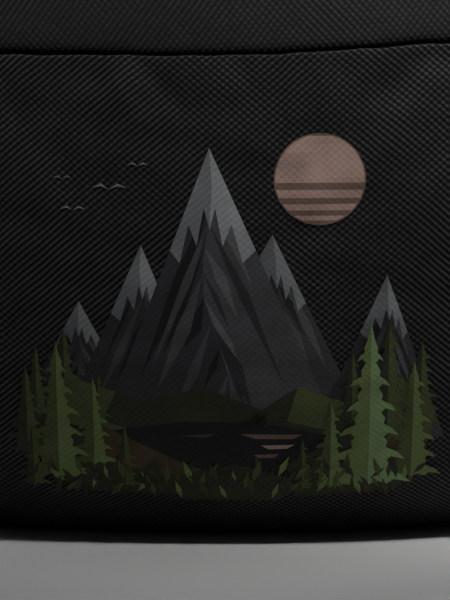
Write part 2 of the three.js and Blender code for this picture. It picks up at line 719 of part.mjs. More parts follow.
// The right end is sewn down behind the buckle's bar. The left side's free end runs on along the outside of
// the belt and is held down by an elastic keeper.
const SEWN_LIFT = 1.5;
const TAIL_END_X = 138;
const TAIL_LIFT = 2.2; // from the middle of the belt to the middle of the tail
const webHalf = [WEBBING_WIDTH / 2, WEBBING_THICKNESS / 2];
const joinDistance = distanceAtX(FOLD_START_X - 2);
const tailDistance = distanceAtX(TAIL_END_X);
for (const [side, name, lift] of [[-1, "belt_left", TAIL_LIFT], [1, "belt_right", SEWN_LIFT]]) {
  const run = strip(WING_END + GAP, joinDistance, 26, side, () => [...webHalf, 0]);
  let belt = solid(run).add(solid(foldGeometry(side, lift, FOLD_START_X + 3)));
  if (side < 0) {
    belt = belt.add(solid(strip(joinDistance, tailDistance, 14, side, () => [...webHalf, TAIL_LIFT])));
  }
  add(name, fromSolid(belt), webbing);
}

const KEEPER_X = 112;
const keeperFrom = distanceAtX(KEEPER_X);
const keeperShape = (wall) =>
  solid(
    strip(keeperFrom - 12 - wall / 4, keeperFrom + wall / 4, 4, -1, () => [
      WEBBING_WIDTH / 2 + GAP + wall,
      (TAIL_LIFT + WEBBING_THICKNESS) / 2 + GAP + wall,
      TAIL_LIFT / 2,
    ]),
  );
const keeperHole = solid(
  strip(keeperFrom - 20, keeperFrom + 8, 8, -1, () => [
    WEBBING_WIDTH / 2 + GAP,
    (TAIL_LIFT + WEBBING_THICKNESS) / 2 + GAP,
    TAIL_LIFT / 2,
  ]),
);
add("strap_keeper", fromSolid(keeperShape(1.2).subtract(keeperHole)), webbing);

// Side-release buckle, in its own frame: the socket on the bag's right (negative X here), the plug on
// the left.

const SOCKET_MOUTH_X = 6;
const BAR_RADIUS = 1.7;
const buckleHalf = BUCKLE_WIDTH / 2;

// Two rails and the bar that the webbing folds round.
function webbingFrame(side, fromX) {
  const [near, far] = [side * fromX, side * (BUCKLE_BAR_X + 3.2)];
  const rail = () => block(Math.min(near, far), 15.6, -3.4, Math.max(near, far), buckleHalf, 3.4);
  const bar = new THREE.CylinderGeometry(BAR_RADIUS, BAR_RADIUS, 33, 14).translate(side * BUCKLE_BAR_X, 0, 0);
  return solid(rail()).add(solid(rail().translate(0, -15.6 - buckleHalf, 0))).add(solid(bar));
}

function socket() {
  const shell = plate(
    roundedRectangle(-23, -buckleHalf, SOCKET_MOUTH_X, buckleHalf, 4),
    BUCKLE_THICKNESS,
    1.2,
    4,
  );
  const cavity = block(-17, -16, -3.2, SOCKET_MOUTH_X + 5, 16, 3.2);
  const window = block(-12.2, -30, -3.2, -1.6, 30, 3.2);
  const thumb = plate(roundedRectangle(-14.5, -30, 0.7, -17.4, 3), 20);
  return solid(shell)
    .subtract(solid(thumb))
    .subtract(solid(thumb.clone().rotateX(Math.PI)))
    .add(webbingFrame(-1, 20))
    .subtract(solid(cavity))
    .subtract(solid(window));
}

function plug() {
  const base = plate(
    roundedRectangle(SOCKET_MOUTH_X + GAP, -buckleHalf + 1, 22, buckleHalf - 1, 3),
    BUCKLE_THICKNESS - 1.6,
    1.2,
    4,
  );
  const prong = new THREE.Shape();
  prong.moveTo(9, 8.6);
  prong.lineTo(9, 13);
  prong.lineTo(-2.2, 13.6);
  prong.lineTo(-3, 19);
  prong.lineTo(-8, 18.6);
  prong.lineTo(-13, 14.2);
  prong.lineTo(-14, 10.6);
  prong.lineTo(-11, 10);
  const guide = plate(roundedRectangle(-14, -3.4, 10, 3.4, 2), 5.4);
  return solid(base)
    .add(webbingFrame(1, 20))
    .add(solid(plate(prong, 5.4)))
    .add(solid(plate(prong, 5.4).rotateX(Math.PI)))
    .add(solid(guide));
}

add("buckle_socket", fromSolid(socket()), plastic, buckleSeat);
add("buckle_plug", fromSolid(plug()), plastic, buckleSeat);

group.updateMatrixWorld(true);
export default group;
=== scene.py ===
"""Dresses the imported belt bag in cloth, thread, webbing and moulded parts, in a plain studio."""

from __future__ import annotations

import logging
import math
from collections.abc import Callable, Iterable, Iterator, Sequence
from contextlib import contextmanager
from dataclasses import dataclass
from enum import Enum

import bpy
import numpy as np
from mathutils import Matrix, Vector

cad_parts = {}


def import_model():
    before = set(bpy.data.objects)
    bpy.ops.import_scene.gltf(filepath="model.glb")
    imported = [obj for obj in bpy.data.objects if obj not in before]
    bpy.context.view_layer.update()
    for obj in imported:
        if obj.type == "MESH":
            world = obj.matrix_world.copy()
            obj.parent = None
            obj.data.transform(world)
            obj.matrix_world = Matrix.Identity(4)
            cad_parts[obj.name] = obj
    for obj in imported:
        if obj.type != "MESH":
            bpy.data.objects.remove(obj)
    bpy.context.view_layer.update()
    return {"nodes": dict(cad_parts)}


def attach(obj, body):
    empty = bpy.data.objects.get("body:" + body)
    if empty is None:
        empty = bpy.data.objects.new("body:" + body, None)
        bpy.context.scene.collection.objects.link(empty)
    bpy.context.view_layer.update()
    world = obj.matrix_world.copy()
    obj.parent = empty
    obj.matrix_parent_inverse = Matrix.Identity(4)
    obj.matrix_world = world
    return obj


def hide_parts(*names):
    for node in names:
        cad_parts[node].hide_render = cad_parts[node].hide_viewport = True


logging.basicConfig(level=logging.INFO, format="%(message)s")
LOG = logging.getLogger("belt_bag")

MM = 0.001
LEVEL = -1.0  # the swell of a ring that lies flat and is cut on the straight grain
CLOTH_UV = "cloth"  # the UV map that cloth is cut to, in units of 100 mm
CLOTH_MM = 100.0  # millimetres to one unit of the cloth map
CLOTH_PER_METRE = 10.0  # units of the cloth map to one metre
BAG = "bag"
Array = np.ndarray
Piece = bpy.types.Object
Point = tuple[float, float]
Place = tuple[float, float, float]


class Side(Enum):
    """A side of the bag, with its sign along X."""

    LEFT = -1
    RIGHT = 1

    @property
    def word(self) -> str:
        """The side's name in lower case."""
        return self.name.lower()


def unit(vectors: Array) -> Array:
    """Scales rows to length one."""
    return vectors / np.maximum(1e-12, np.linalg.norm(vectors, axis=-1, keepdims=True))


def bump_hill(x: Array, middle: float, width: float) -> Array:
    """A soft hill of height one."""
    return np.exp(-(((x - middle) / width) ** 2))


def ease(share: Array) -> Array:
    """A share that starts and ends softly."""
    return share * share * (3 - 2 * share)


def run_lengths(path: Array) -> Array:
    """Lengths along a path up to each of its points."""
    return np.concatenate([[0], np.cumsum(np.linalg.norm(np.diff(path, axis=0), axis=1))])


def along_path(at: Array, lengths: Array, values: Array) -> Array:
    """Reads rows of values at lengths along a path."""
    return np.stack([np.interp(at, lengths, column) for column in values.T], axis=1)


def oval(wide: float, high: float, count: int) -> list[Point]:
    """An ellipse's outline, from half its width and half its height."""
    turns = np.linspace(0, 2 * math.pi, count, endpoint=False)
    return [(wide * math.cos(a), high * math.sin(a)) for a in turns]


def outward(angle: Array) -> Array:
    """Level directions away from the axis of the bag's plan, at angles from the front."""
    return np.stack([np.sin(angle), -np.cos(angle), np.zeros_like(angle)], axis=-1)


def sideways(angle: Array) -> Array:
    """Level directions along an arc of the bag's plan, at angles from the front."""
    return np.stack([np.cos(angle), np.sin(angle), np.zeros_like(angle)], axis=-1)


def ring_tangents(path: Array) -> Array:
    """Directions along a path whose last point is its first.

    Args:
        path: The path's points.

    Returns:
        One direction for each point.
    """
    tangent = unit(np.gradient(path, axis=0))
    tangent[0] = tangent[-1] = unit(path[1] - path[-2])
    return tangent


# Curves


@dataclass(frozen=True)
class BagCurves:
    """The curves that the bag's panels are cut and sewn to, in millimetres."""

    axis_y: float = 108.0
    back_y: float = 18.0
    belly_z: float = 78.0
    body_radius: float = 157.5
    body_tuck: float = 32.0
    body_tuck_power: float = 2.2
    body_lean: float = 0.0016
    body_corner: float = 10.0
    top_z: float = 131.0
    top_radius: float = 153.0
    top_slope: float = 0.14
    pocket_radius: float = 168.0
    pocket_tuck: float = 40.0
    pocket_tuck_power: float = 1.9
    pocket_lean: float = 0.0023
    pocket_half_angle: float = math.radians(40)
    pocket_flat_angle: float = math.radians(33)
    pocket_flat_share: float = 0.825
    pocket_side_share: float = 0.22
    pocket_gap: float = 0.3
    pocket_least: float = 1.2
    zip_radius: float = 144.0
    zip_half_angle: float = math.radians(41)
    lip_z: float = 97.0
    corner_from: float = 0.56  # share of the half outline at which its back corner starts
    corner_to: float = 0.68
    slack_lengths: Point = (6.0, 17.0)
    slack_waves: int = 14
    slack_seed: int = 5

    def lip_rise(self, x: Array) -> Array:
        """How far the pocket's top seam is pulled up along its course.

        Args:
            x: Across the bag, in millimetres.

        Returns:
            The rise, in millimetres: a slow pull at the right, a dip, and the unevenness of the sewing.
        """
        uneven = 0.1 * np.sin(x / 2.3 + 0.4) * np.sin(x / 7.1)
        uneven += 0.08 * np.sin(x / 1.3 + 1.0) * np.sin(x / 5.2 + 2.0)
        return 2.2 * bump_hill(x, 47, 26) - 0.15 * bump_hill(x, -6, 16) + uneven

    def slack(self, x: Array, z: Array, slope: float) -> Array:
        """Small soft waves of cloth that isn't taut, in all directions.

        Args:
            x: Across the cloth, in millimetres.
            z: Up the cloth.
            slope: How steep each wave is.

        Returns:
            How far the cloth stands out, in millimetres.
        """
        chance = np.random.default_rng(self.slack_seed)
        total = np.zeros(np.broadcast(x, z).shape)
        for length in np.geomspace(*self.slack_lengths, self.slack_waves):
            way, phase = chance.uniform(0, math.pi), chance.uniform(0, 2 * math.pi)
            turn = 2 * math.pi / length
            total += slope / turn * np.sin(turn * (x * math.cos(way) + z * math.sin(way)) + phase)
        return total

    def _tucked(self, z: Array, tuck: float, power: float) -> Array:
        """How far a bulging front has run in at heights below the belly."""
        share = np.clip((self.belly_z - z) / self.belly_z, 0, 1)
        return tuck * (1 - (1 - share**power) ** (1 / power))

    def body_face(self, z: Array) -> Array:
        """Plan radius of the main body's front at each height."""
        lean = self.body_lean * np.maximum(0, z - self.belly_z) ** 2
        return self.body_radius - self._tucked(z, self.body_tuck, self.body_tuck_power) - lean

    def pocket_side(self, z: Array) -> Array:
        """Angle of the pocket's side seam at each height; it runs in towards the base."""
        return self.pocket_half_angle * (1 - 0.3 * np.maximum(0, 1 - z / 40) ** 3)

    def pocket_face(self, angle: Array, z: Array) -> Array:
        """Plan radius of the pocket's front.

        Args:
            angle: Angles from the front's middle.
            z: Heights, in millimetres.

        Returns:
            The radius, in millimetres. It rounds over from the flat of the front to the side seams.
        """
        lean = self.pocket_lean * np.maximum(0, z - self.belly_z) ** 2
        full = self.pocket_radius - self._tucked(z, self.pocket_tuck, self.pocket_tuck_power) - lean
        side = self.pocket_side(z)
        flat = np.minimum(self.pocket_flat_angle, side * self.pocket_flat_share)
        out = np.clip((np.abs(angle) - flat) / (side - flat), 0, 1)
        share = self.pocket_side_share + (1 - self.pocket_side_share) * np.sqrt(1 - out * out)
        seat = self.body_face(z) + self.pocket_gap
        return seat + np.maximum(self.pocket_least, (full - seat) * share)

    def on_arc(self, angle: Array, radius: Array, z: Array) -> Array:
        """Points in metres at an angle from the front, a plan radius and a height."""
        angle, radius, z = np.broadcast_arrays(angle, radius, z)
        return np.stack([radius * np.sin(angle), self.axis_y - radius * np.cos(angle), z], axis=-1) * MM

    def top(self, x: Array, y: Array) -> Array:
        """Height of the top panel over a point of the plan."""
        return self.top_z + self.top_slope * np.maximum(0, self.top_radius - np.hypot(x, y - self.axis_y))

    def outline(self, radius: float, back_y: float, corner: float, turns: Array) -> Array:
        """Plan outline of the body, from the middle of the back round by the left side.

        Args:
            radius: Plan radius of the front.
            back_y: Where the straight back lies.
            corner: Radius of the two back corners.
            turns: Shares of the way round, from 0 to 1; the front's middle is at 0.5.

        Returns:
            One row of X and Y, in millimetres, for each share.
        """
        corner_x = math.sqrt((radius - corner) ** 2 - (self.axis_y - back_y + corner) ** 2)
        reach = math.asin(corner_x / (radius - corner))
        near, far = self.corner_from, self.corner_to
        half = []
        for share in np.abs(turns - 0.5) * 2:  # 0 at the front's middle, 1 at the back's
            if share <= near:
                a = reach * share / near
                half.append((radius * math.sin(a), self.axis_y - radius * math.cos(a)))
            elif share <= far:
                a = reach - math.pi / 2 + (math.pi - reach) * (share - near) / (far - near)
                half.append((corner_x + corner * math.cos(a), back_y - corner + corner * math.sin(a)))
            else:
                half.append((corner_x * (1 - (share - far) / (1 - far)), back_y))
        points = np.array(half)
        points[:, 0] *= np.where(turns < 0.5, -1, 1)
        return points


# Bench


def read_points(mesh: bpy.types.Mesh) -> Array:
    """Reads a mesh's points as rows of three.

    Args:
        mesh: The mesh.

    Returns:
        Its points.
    """
    flat = np.empty(len(mesh.vertices) * 3)
    mesh.vertices.foreach_get("co", flat)
    return flat.reshape(-1, 3)


def write_points(mesh: bpy.types.Mesh, points: Array) -> None:
    """Moves a mesh's points."""
    mesh.vertices.foreach_set("co", points.ravel())
    mesh.update()


def write_cloth(mesh: bpy.types.Mesh, cloth: Array) -> None:
    """Gives a mesh its cloth map in place of any other.

    Args:
        mesh: The mesh.
        cloth: Cloth coordinates of its points, n by 2.
    """
    while mesh.uv_layers:
        mesh.uv_layers.remove(mesh.uv_layers[0])
    corner = np.empty(len(mesh.loops), dtype=int)
    mesh.loops.foreach_get("vertex_index", corner)
    mesh.uv_layers.new(name=CLOTH_UV).data.foreach_set("uv", cloth[corner].ravel())


def place_mesh(mesh: bpy.types.Mesh) -> Piece:
    """Makes an object of a mesh and puts it in the scene.

    Args:
        mesh: The mesh, whose name the object takes.

    Returns:
        The object.
    """
    obj = bpy.data.objects.new(mesh.name, mesh)
    bpy.context.collection.objects.link(obj)
    return obj


@dataclass(frozen=True)
class CuttingTable:
    """Cuts panels from flat grids, sews them shut and finishes them."""

    weld: float = 1e-6  # metres between points that are sewn into one
    node_weld: float = 2e-6
    seam_angle: float = 50.0
    soft_angle: float = 60.0
    filling_steps: int = 20
    filling_quality: int = 3
    cloth_tension: float = 15.0
    cloth_bending: float = 0.4
    bead_rings: int = 6
    bead_power: float = 0.75

    def clear(self) -> None:
        """Leaves edit mode and deselects everything."""
        if bpy.context.mode != "OBJECT":
            bpy.ops.object.mode_set(mode="OBJECT")
        bpy.ops.object.select_all(action="DESELECT")

    def pick(self, obj: Piece) -> None:
        """Makes one object the only selected and the active one.

        Args:
            obj: The object.
        """
        self.clear()
        obj.select_set(True)
        bpy.context.view_layer.objects.active = obj

    @contextmanager
    def editing(self, obj: Piece) -> Iterator[None]:
        """Holds an object in edit mode, with everything selected at first.

        Args:
            obj: The object.

        Yields:
            Nothing, once the object is open.
        """
        self.pick(obj)
        bpy.ops.object.mode_set(mode="EDIT")
        bpy.ops.mesh.select_all(action="SELECT")
        yield
        bpy.ops.object.mode_set(mode="OBJECT")

    def name(self, obj: Piece, name: str) -> Piece:
        """Names an object and its mesh."""
        obj.name = obj.data.name = name
        return obj

    def grain(self, lattice: Array, middle: int) -> Array:
        """Cloth coordinates of a lattice, as lengths along its rows and columns.

        Args:
            lattice: Points in metres, rows by columns by 3.
            middle: The column that the rows' lengths are counted from.

        Returns:
            Rows by columns by 2, in units of the cloth map.
        """
        across = np.linalg.norm(np.diff(lattice, axis=1), axis=2)
        across = np.concatenate([np.zeros((lattice.shape[0], 1)), np.cumsum(across, axis=1)], axis=1)
        across = across - across[:, middle : middle + 1]
        along = np.linalg.norm(np.diff(lattice, axis=0), axis=2)
        along = np.concatenate([np.zeros((1, lattice.shape[1])), np.cumsum(along, axis=0)], axis=0)
        along = np.repeat(along[:, middle : middle + 1], lattice.shape[1], axis=1)
        return np.stack([across, along], axis=-1) * CLOTH_PER_METRE

    def panel(
        self, name: str, lattice: Array, grain: Array | None = None, held: Array | None = None
    ) -> Piece:
        """Lays a flat grid and moves its points onto a lattice.

        Args:
            name: The panel's name.
            lattice: Points in metres, rows by columns by 3.
            grain: Cloth coordinates of the same rows and columns, or None to measure them.
            held: How firmly each point is sewn down, from 0 to 1, for a piece that is filled later.

        Returns:
            The panel, with a cloth UV map.
        """
        rows, columns = lattice.shape[:2]
        self.clear()
        bpy.ops.mesh.primitive_grid_add(x_subdivisions=columns - 1, y_subdivisions=rows - 1, size=2)
        obj = self.name(bpy.context.active_object, name)
        flat = read_points(obj.data)
        column = np.rint((flat[:, 0] + 1) / 2 * (columns - 1)).astype(int)
        row = np.rint((flat[:, 1] + 1) / 2 * (rows - 1)).astype(int)
        write_points(obj.data, lattice[row, column])
        cloth = self.grain(lattice, columns // 2) if grain is None else grain
        write_cloth(obj.data, cloth[row, column])
        if held is not None:
            seams = obj.vertex_groups.new(name="seams")
            weights = held[row, column]
            for weight in np.unique(weights[weights > 0]):
                seams.add(np.flatnonzero(weights == weight).tolist(), float(weight), "REPLACE")
        return obj

    def close(self, obj: Piece) -> Piece:
        """Sews a panel's meeting edges together, fills its open ends and turns its faces outwards.

        Args:
            obj: The panel.

        Returns:
            The same panel, closed.
        """
        with self.editing(obj):
            bpy.ops.mesh.remove_doubles(threshold=self.weld)
            bpy.ops.mesh.select_all(action="SELECT")
            bpy.ops.mesh.fill_holes(sides=0)
            bpy.ops.mesh.select_all(action="SELECT")
            bpy.ops.mesh.normals_make_consistent(inside=False)
        self.smooth(obj, self.seam_angle)
        return obj

    def smooth(self, obj: Piece, angle: float) -> None:
        """Shades an object smooth, apart from edges sharper than an angle in degrees."""
        self.pick(obj)
        bpy.ops.object.shade_smooth_by_angle(angle=math.radians(angle))

    def thicken(self, obj: Piece, thickness: float) -> None:
        """Gives an open panel a wall, outwards from where it lies.

        Args:
            obj: The panel.
            thickness: The wall's thickness, in millimetres.
        """
        self.pick(obj)
        wall = obj.modifiers.new("wall", "SOLIDIFY")
        wall.thickness = thickness * MM
        wall.offset = 1.0
        bpy.ops.object.modifier_apply(modifier=wall.name)

    def tube(
        self, name: str, path: Array, across: Array, out: Array, section: Sequence[Point], ring: bool = False
    ) -> Piece:
        """Sweeps a section along a path.

        Args:
            name: The piece's name.
            path: Points in metres, n by 3.
            across: Unit directions of the section's first axis, n by 3.
            out: Unit directions of the section's second axis, n by 3.
            section: The outline, in millimetres, in order.
            ring: Whether the path's last point is its first.

        Returns:
            A closed piece whose cloth coordinates run round the section and along the path.
        """
        obj = self.panel(name, swept(path, across, out, np.array([*section, section[0]])))
        if ring:
            with self.editing(obj):
                bpy.ops.mesh.remove_doubles(threshold=self.weld)
        return self.close(obj)

    def inflate(self, obj: Piece, pressure: float, cap: float) -> None:
        """Fills a padded piece by a cloth simulation, with its seams held where they are, and refines it.

        Args:
            obj: The piece, closed, with its seams.
            pressure: How hard the filling presses.
            cap: The furthest that a point may move, in millimetres.
        """
        self.pick(obj)
        self._simulate(obj, pressure, cap)
        obj.vertex_groups.clear()
        finer = obj.modifiers.new("finer", "SUBSURF")
        finer.levels = finer.render_levels = 1
        bpy.ops.object.modifier_apply(modifier=finer.name)
        self.smooth(obj, self.soft_angle)

    def _simulate(self, obj: Piece, pressure: float, cap: float) -> None:
        """Runs the filling and keeps each point within the cap.

        Args:
            obj: The piece, picked.
            pressure: How hard the filling presses.
            cap: The furthest that a point may move, in millimetres.
        """
        start = read_points(obj.data)
        cloth = obj.modifiers.new("filling", "CLOTH")
        cloth.settings.quality = self.filling_quality
        cloth.settings.use_pressure = True
        cloth.settings.uniform_pressure_force = pressure
        cloth.settings.vertex_group_mass = "seams"
        cloth.settings.effector_weights.gravity = 0
        cloth.settings.tension_stiffness = self.cloth_tension
        cloth.settings.bending_stiffness = self.cloth_bending
        cloth.point_cache.frame_start = 1
        cloth.point_cache.frame_end = self.filling_steps
        for step in range(1, self.filling_steps + 1):
            bpy.context.scene.frame_set(step)
        bpy.ops.object.modifier_apply(modifier=cloth.name)
        bpy.context.scene.frame_set(1)
        move = read_points(obj.data) - start
        far = np.linalg.norm(move, axis=1, keepdims=True)
        LOG.info("%s: filled, moved up to %.2f mm", obj.name, float(far.max()) / MM)
        write_points(obj.data, start + move * np.minimum(1.0, cap * MM / np.maximum(far, 1e-9)))

    def moulded_copy(self, node: Piece, name: str, round_mm: float, angle: float = 32) -> Piece:
        """Copies a rigid node and rounds its edges.

        Args:
            node: The node to copy.
            name: The copy's name.
            round_mm: How far the edges are rounded.
            angle: The sharpest angle, in degrees, that is left as it is.

        Returns:
            The rounded copy.
        """
        copy = node.copy()
        copy.data = node.data.copy()
        copy.parent = None
        copy.matrix_world = node.matrix_world
        bpy.context.collection.objects.link(copy)
        self.name(copy, name)
        self.pick(copy)
        bpy.ops.object.transform_apply(location=True, rotation=True, scale=True)
        with self.editing(copy):
            bpy.ops.mesh.remove_doubles(threshold=self.node_weld)
            bpy.ops.mesh.tris_convert_to_quads(face_threshold=0.02, shape_threshold=0.7)
            bpy.ops.mesh.dissolve_limited(angle_limit=math.radians(1.5))
        bevel = copy.modifiers.new("edges", "BEVEL")
        bevel.width = round_mm * MM
        bevel.segments = 3
        bevel.limit_method = "ANGLE"
        bevel.angle_limit = math.radians(angle)
        bevel.use_clamp_overlap = False
        bpy.ops.object.modifier_apply(modifier=bevel.name)
        self.smooth(copy, angle)
        return copy

    def copies(self, name: str, pattern: Piece, places: Array, along: Array, out: Array) -> Piece:
        """Repeats a small modelled pattern, each copy with its own mesh, and takes the pattern away.

        Args:
            name: The piece's name.
            pattern: The pattern at the origin, long in X and standing out in Z.
            places: Where the copies go, in metres, n by 3.
            along: Unit directions of the copies' X, n by 3.
            out: Unit directions of the copies' Z, n by 3.

        Returns:
            One piece that holds all copies.
        """
        base = read_points(pattern.data)
        faces = [tuple(face.vertices) for face in pattern.data.polygons]
        points = places[:, None, :] + base[None, :, :1] * along[:, None, :]
        points = points + base[None, :, 1:2] * np.cross(out, along)[:, None, :]
        points = points + base[None, :, 2:] * out[:, None, :]
        count = len(base)
        all_faces = [tuple(v + k * count for v in face) for k in range(len(places)) for face in faces]
        repeated = bpy.data.meshes.new(name)
        repeated.from_pydata(points.reshape(-1, 3).tolist(), [], all_faces)
        repeated.update()
        obj = place_mesh(repeated)
        bpy.data.objects.remove(pattern)
        self.smooth(obj, self.soft_angle)
        return obj

    def bead(self, length: float, width: float, height: float, segments: int = 8) -> Piece:
        """Models one rounded bead, such as a stitch or a zip tooth, at the origin.

        Args:
            length: Its length along X, in millimetres.
            width: Its width along Y.
            height: Its height along Z.
            segments: How many faces go round it.

        Returns:
            The bead.
        """
        self.clear()
        bpy.ops.mesh.primitive_uv_sphere_add(segments=segments, ring_count=self.bead_rings, radius=0.5)
        obj = bpy.context.active_object
        with self.editing(obj):
            bpy.ops.transform.rotate(value=math.pi / 2, orient_axis="Y", center_override=(0, 0, 0))
        share = read_points(obj.data) * 2
        # A superellipsoid keeps the bead full towards its ends.
        full = np.sign(share) * np.abs(share) ** self.bead_power / 2
        write_points(obj.data, full * np.array([length, width, height]) * MM)
        return obj


def swept(path: Array, across: Array, out: Array, outline: Array) -> Array:
    """A lattice of one outline, in millimetres, at every point of a path in metres.

    Args:
        path: The path's points.
        across: The direction of the outline's first number, at each point.
        out: The direction of its second number.
        outline: The outline.

    Returns:
        The lattice, in metres.
    """
    outline = outline * MM
    wide = path[:, None, :] + across[:, None, :] * outline[None, :, :1]
    return wide + out[:, None, :] * outline[None, :, 1:]


@dataclass(frozen=True)
class Sewing:
    """Runs rows of thread along seams. Sizes are in millimetres."""

    table: CuttingTable
    stitch: float = 2.7
    space: float = 0.7
    thread: float = 0.42
    flatness: float = 0.8
    reach: float = 1.2
    proud: float = 0.05

    def rows(self, name: str, runs: Iterable[tuple[Array, Array]]) -> Piece:
        """Sews several rows of stitches as one piece.

        Args:
            name: The piece's name.
            runs: For each row its dense points in metres, and unit directions away from the cloth.

        Returns:
            All the rows, as one piece.
        """
        places, alongs, outs = [], [], []
        pitch = (self.stitch + self.space) * MM
        reach = self.reach * MM
        for path, out in runs:
            lengths = run_lengths(path)
            count = max(1, int(lengths[-1] / pitch))
            middles = (np.arange(count) + 0.5) * lengths[-1] / count
            ahead = along_path(middles + reach, lengths, path)
            along = unit(ahead - along_path(middles - reach, lengths, path))
            normal = along_path(middles, lengths, out)
            normal = unit(normal - along * np.sum(normal * along, axis=1, keepdims=True))
            places.append(along_path(middles, lengths, path) + normal * self.proud * MM)
            alongs.append(along)
            outs.append(normal)
        pattern = self.table.bead(self.stitch, self.thread, self.thread * self.flatness, 6)
        return self.table.copies(name, pattern, *(np.concatenate(part) for part in (places, alongs, outs)))


# Finishes

Socket = bpy.types.NodeSocket
Value = float | Socket
Colour = tuple[float, float, float, float]


def grey(level: float) -> Colour:
    """An even grey as a colour."""
    return (level, level, level, 1.0)


class Recipe:
    """Places shader nodes in one tree and joins them."""

    def __init__(self, tree: bpy.types.NodeTree) -> None:
        """Keeps the tree."""
        self.tree = tree

    def add(self, kind: str, **settings: object) -> bpy.types.Node:
        """Adds a node.

        Args:
            kind: The node's type.
            **settings: Its properties.

        Returns:
            The node.
        """
        node = self.tree.nodes.new(kind)
        for key, value in settings.items():
            setattr(node, key, value)
        return node

    def feed(self, target: Socket, source: object) -> None:
        """Links an input to an output, or sets its value.

        Args:
            target: The input.
            source: The output or the value.
        """
        if isinstance(source, bpy.types.NodeSocket):
            self.tree.links.new(source, target)
        else:
            target.default_value = source

    def fill(self, node: bpy.types.Node, **sources: object) -> bpy.types.Node:
        """Feeds a node's inputs by their names, with underscores for spaces.

        Args:
            node: The node.
            **sources: The outputs or values.

        Returns:
            The same node.
        """
        for key, source in sources.items():
            self.feed(node.inputs[key.replace("_", " ")], source)
        return node

    def math(self, operation: str, *sources: Value, clamp: bool = False) -> Socket:
        """Adds a Math node.

        Args:
            operation: What it does.
            *sources: Its inputs, in order.
            clamp: Whether its result is kept from 0 to 1.

        Returns:
            Its result.
        """
        node = self.add("ShaderNodeMath", operation=operation, use_clamp=clamp)
        for socket, source in zip(node.inputs, sources):
            self.feed(socket, source)
        return node.outputs[0]

    def mix(self, share: Value, low: object, high: object) -> Socket:
        """Mixes two colours.

        Args:
            share: The second colour's share.
            low: The first colour.
            high: The second colour.

        Returns:
            The mixed colour.
        """
        node = self.fill(self.add("ShaderNodeMix", data_type="RGBA"), Factor=share)
        self.feed(node.inputs[6], low)
        self.feed(node.inputs[7], high)
        return node.outputs[2]

    def span(self, value: Socket, low: float, high: float, to_low: float, to_high: float) -> Socket:
        """Maps a value smoothly from one range to another.

        Args:
            value: The value.
            low: Where its range starts.
            high: Where its range ends.
            to_low: Where the new range starts.
            to_high: Where the new range ends.

        Returns:
            The new value.
        """
        node = self.add("ShaderNodeMapRange", interpolation_type="SMOOTHSTEP")
        for socket, source in zip(node.inputs, (value, low, high, to_low, to_high)):
            self.feed(socket, source)
        return node.outputs[0]

    def shade(self, tone: Socket, level: float, tint: Place = (1.0, 1.0, 1.0)) -> Socket:
        """Makes a colour whose brightness follows a tone.

        Args:
            tone: The tone, about 1.
            level: The colour's level where the tone is 1.
            tint: What each channel is multiplied by.

        Returns:
            The colour.
        """
        colour = self.add("ShaderNodeCombineColor")
        for socket, part in zip(colour.inputs, tint):
            self.feed(socket, self.math("MULTIPLY", tone, level * part))
        return colour.outputs[0]

    def group(self, tree: bpy.types.NodeTree, **sources: object) -> bpy.types.Node:
        """Adds a node group and feeds its inputs by their names."""
        return self.fill(self.add("ShaderNodeGroup", node_tree=tree), **sources)


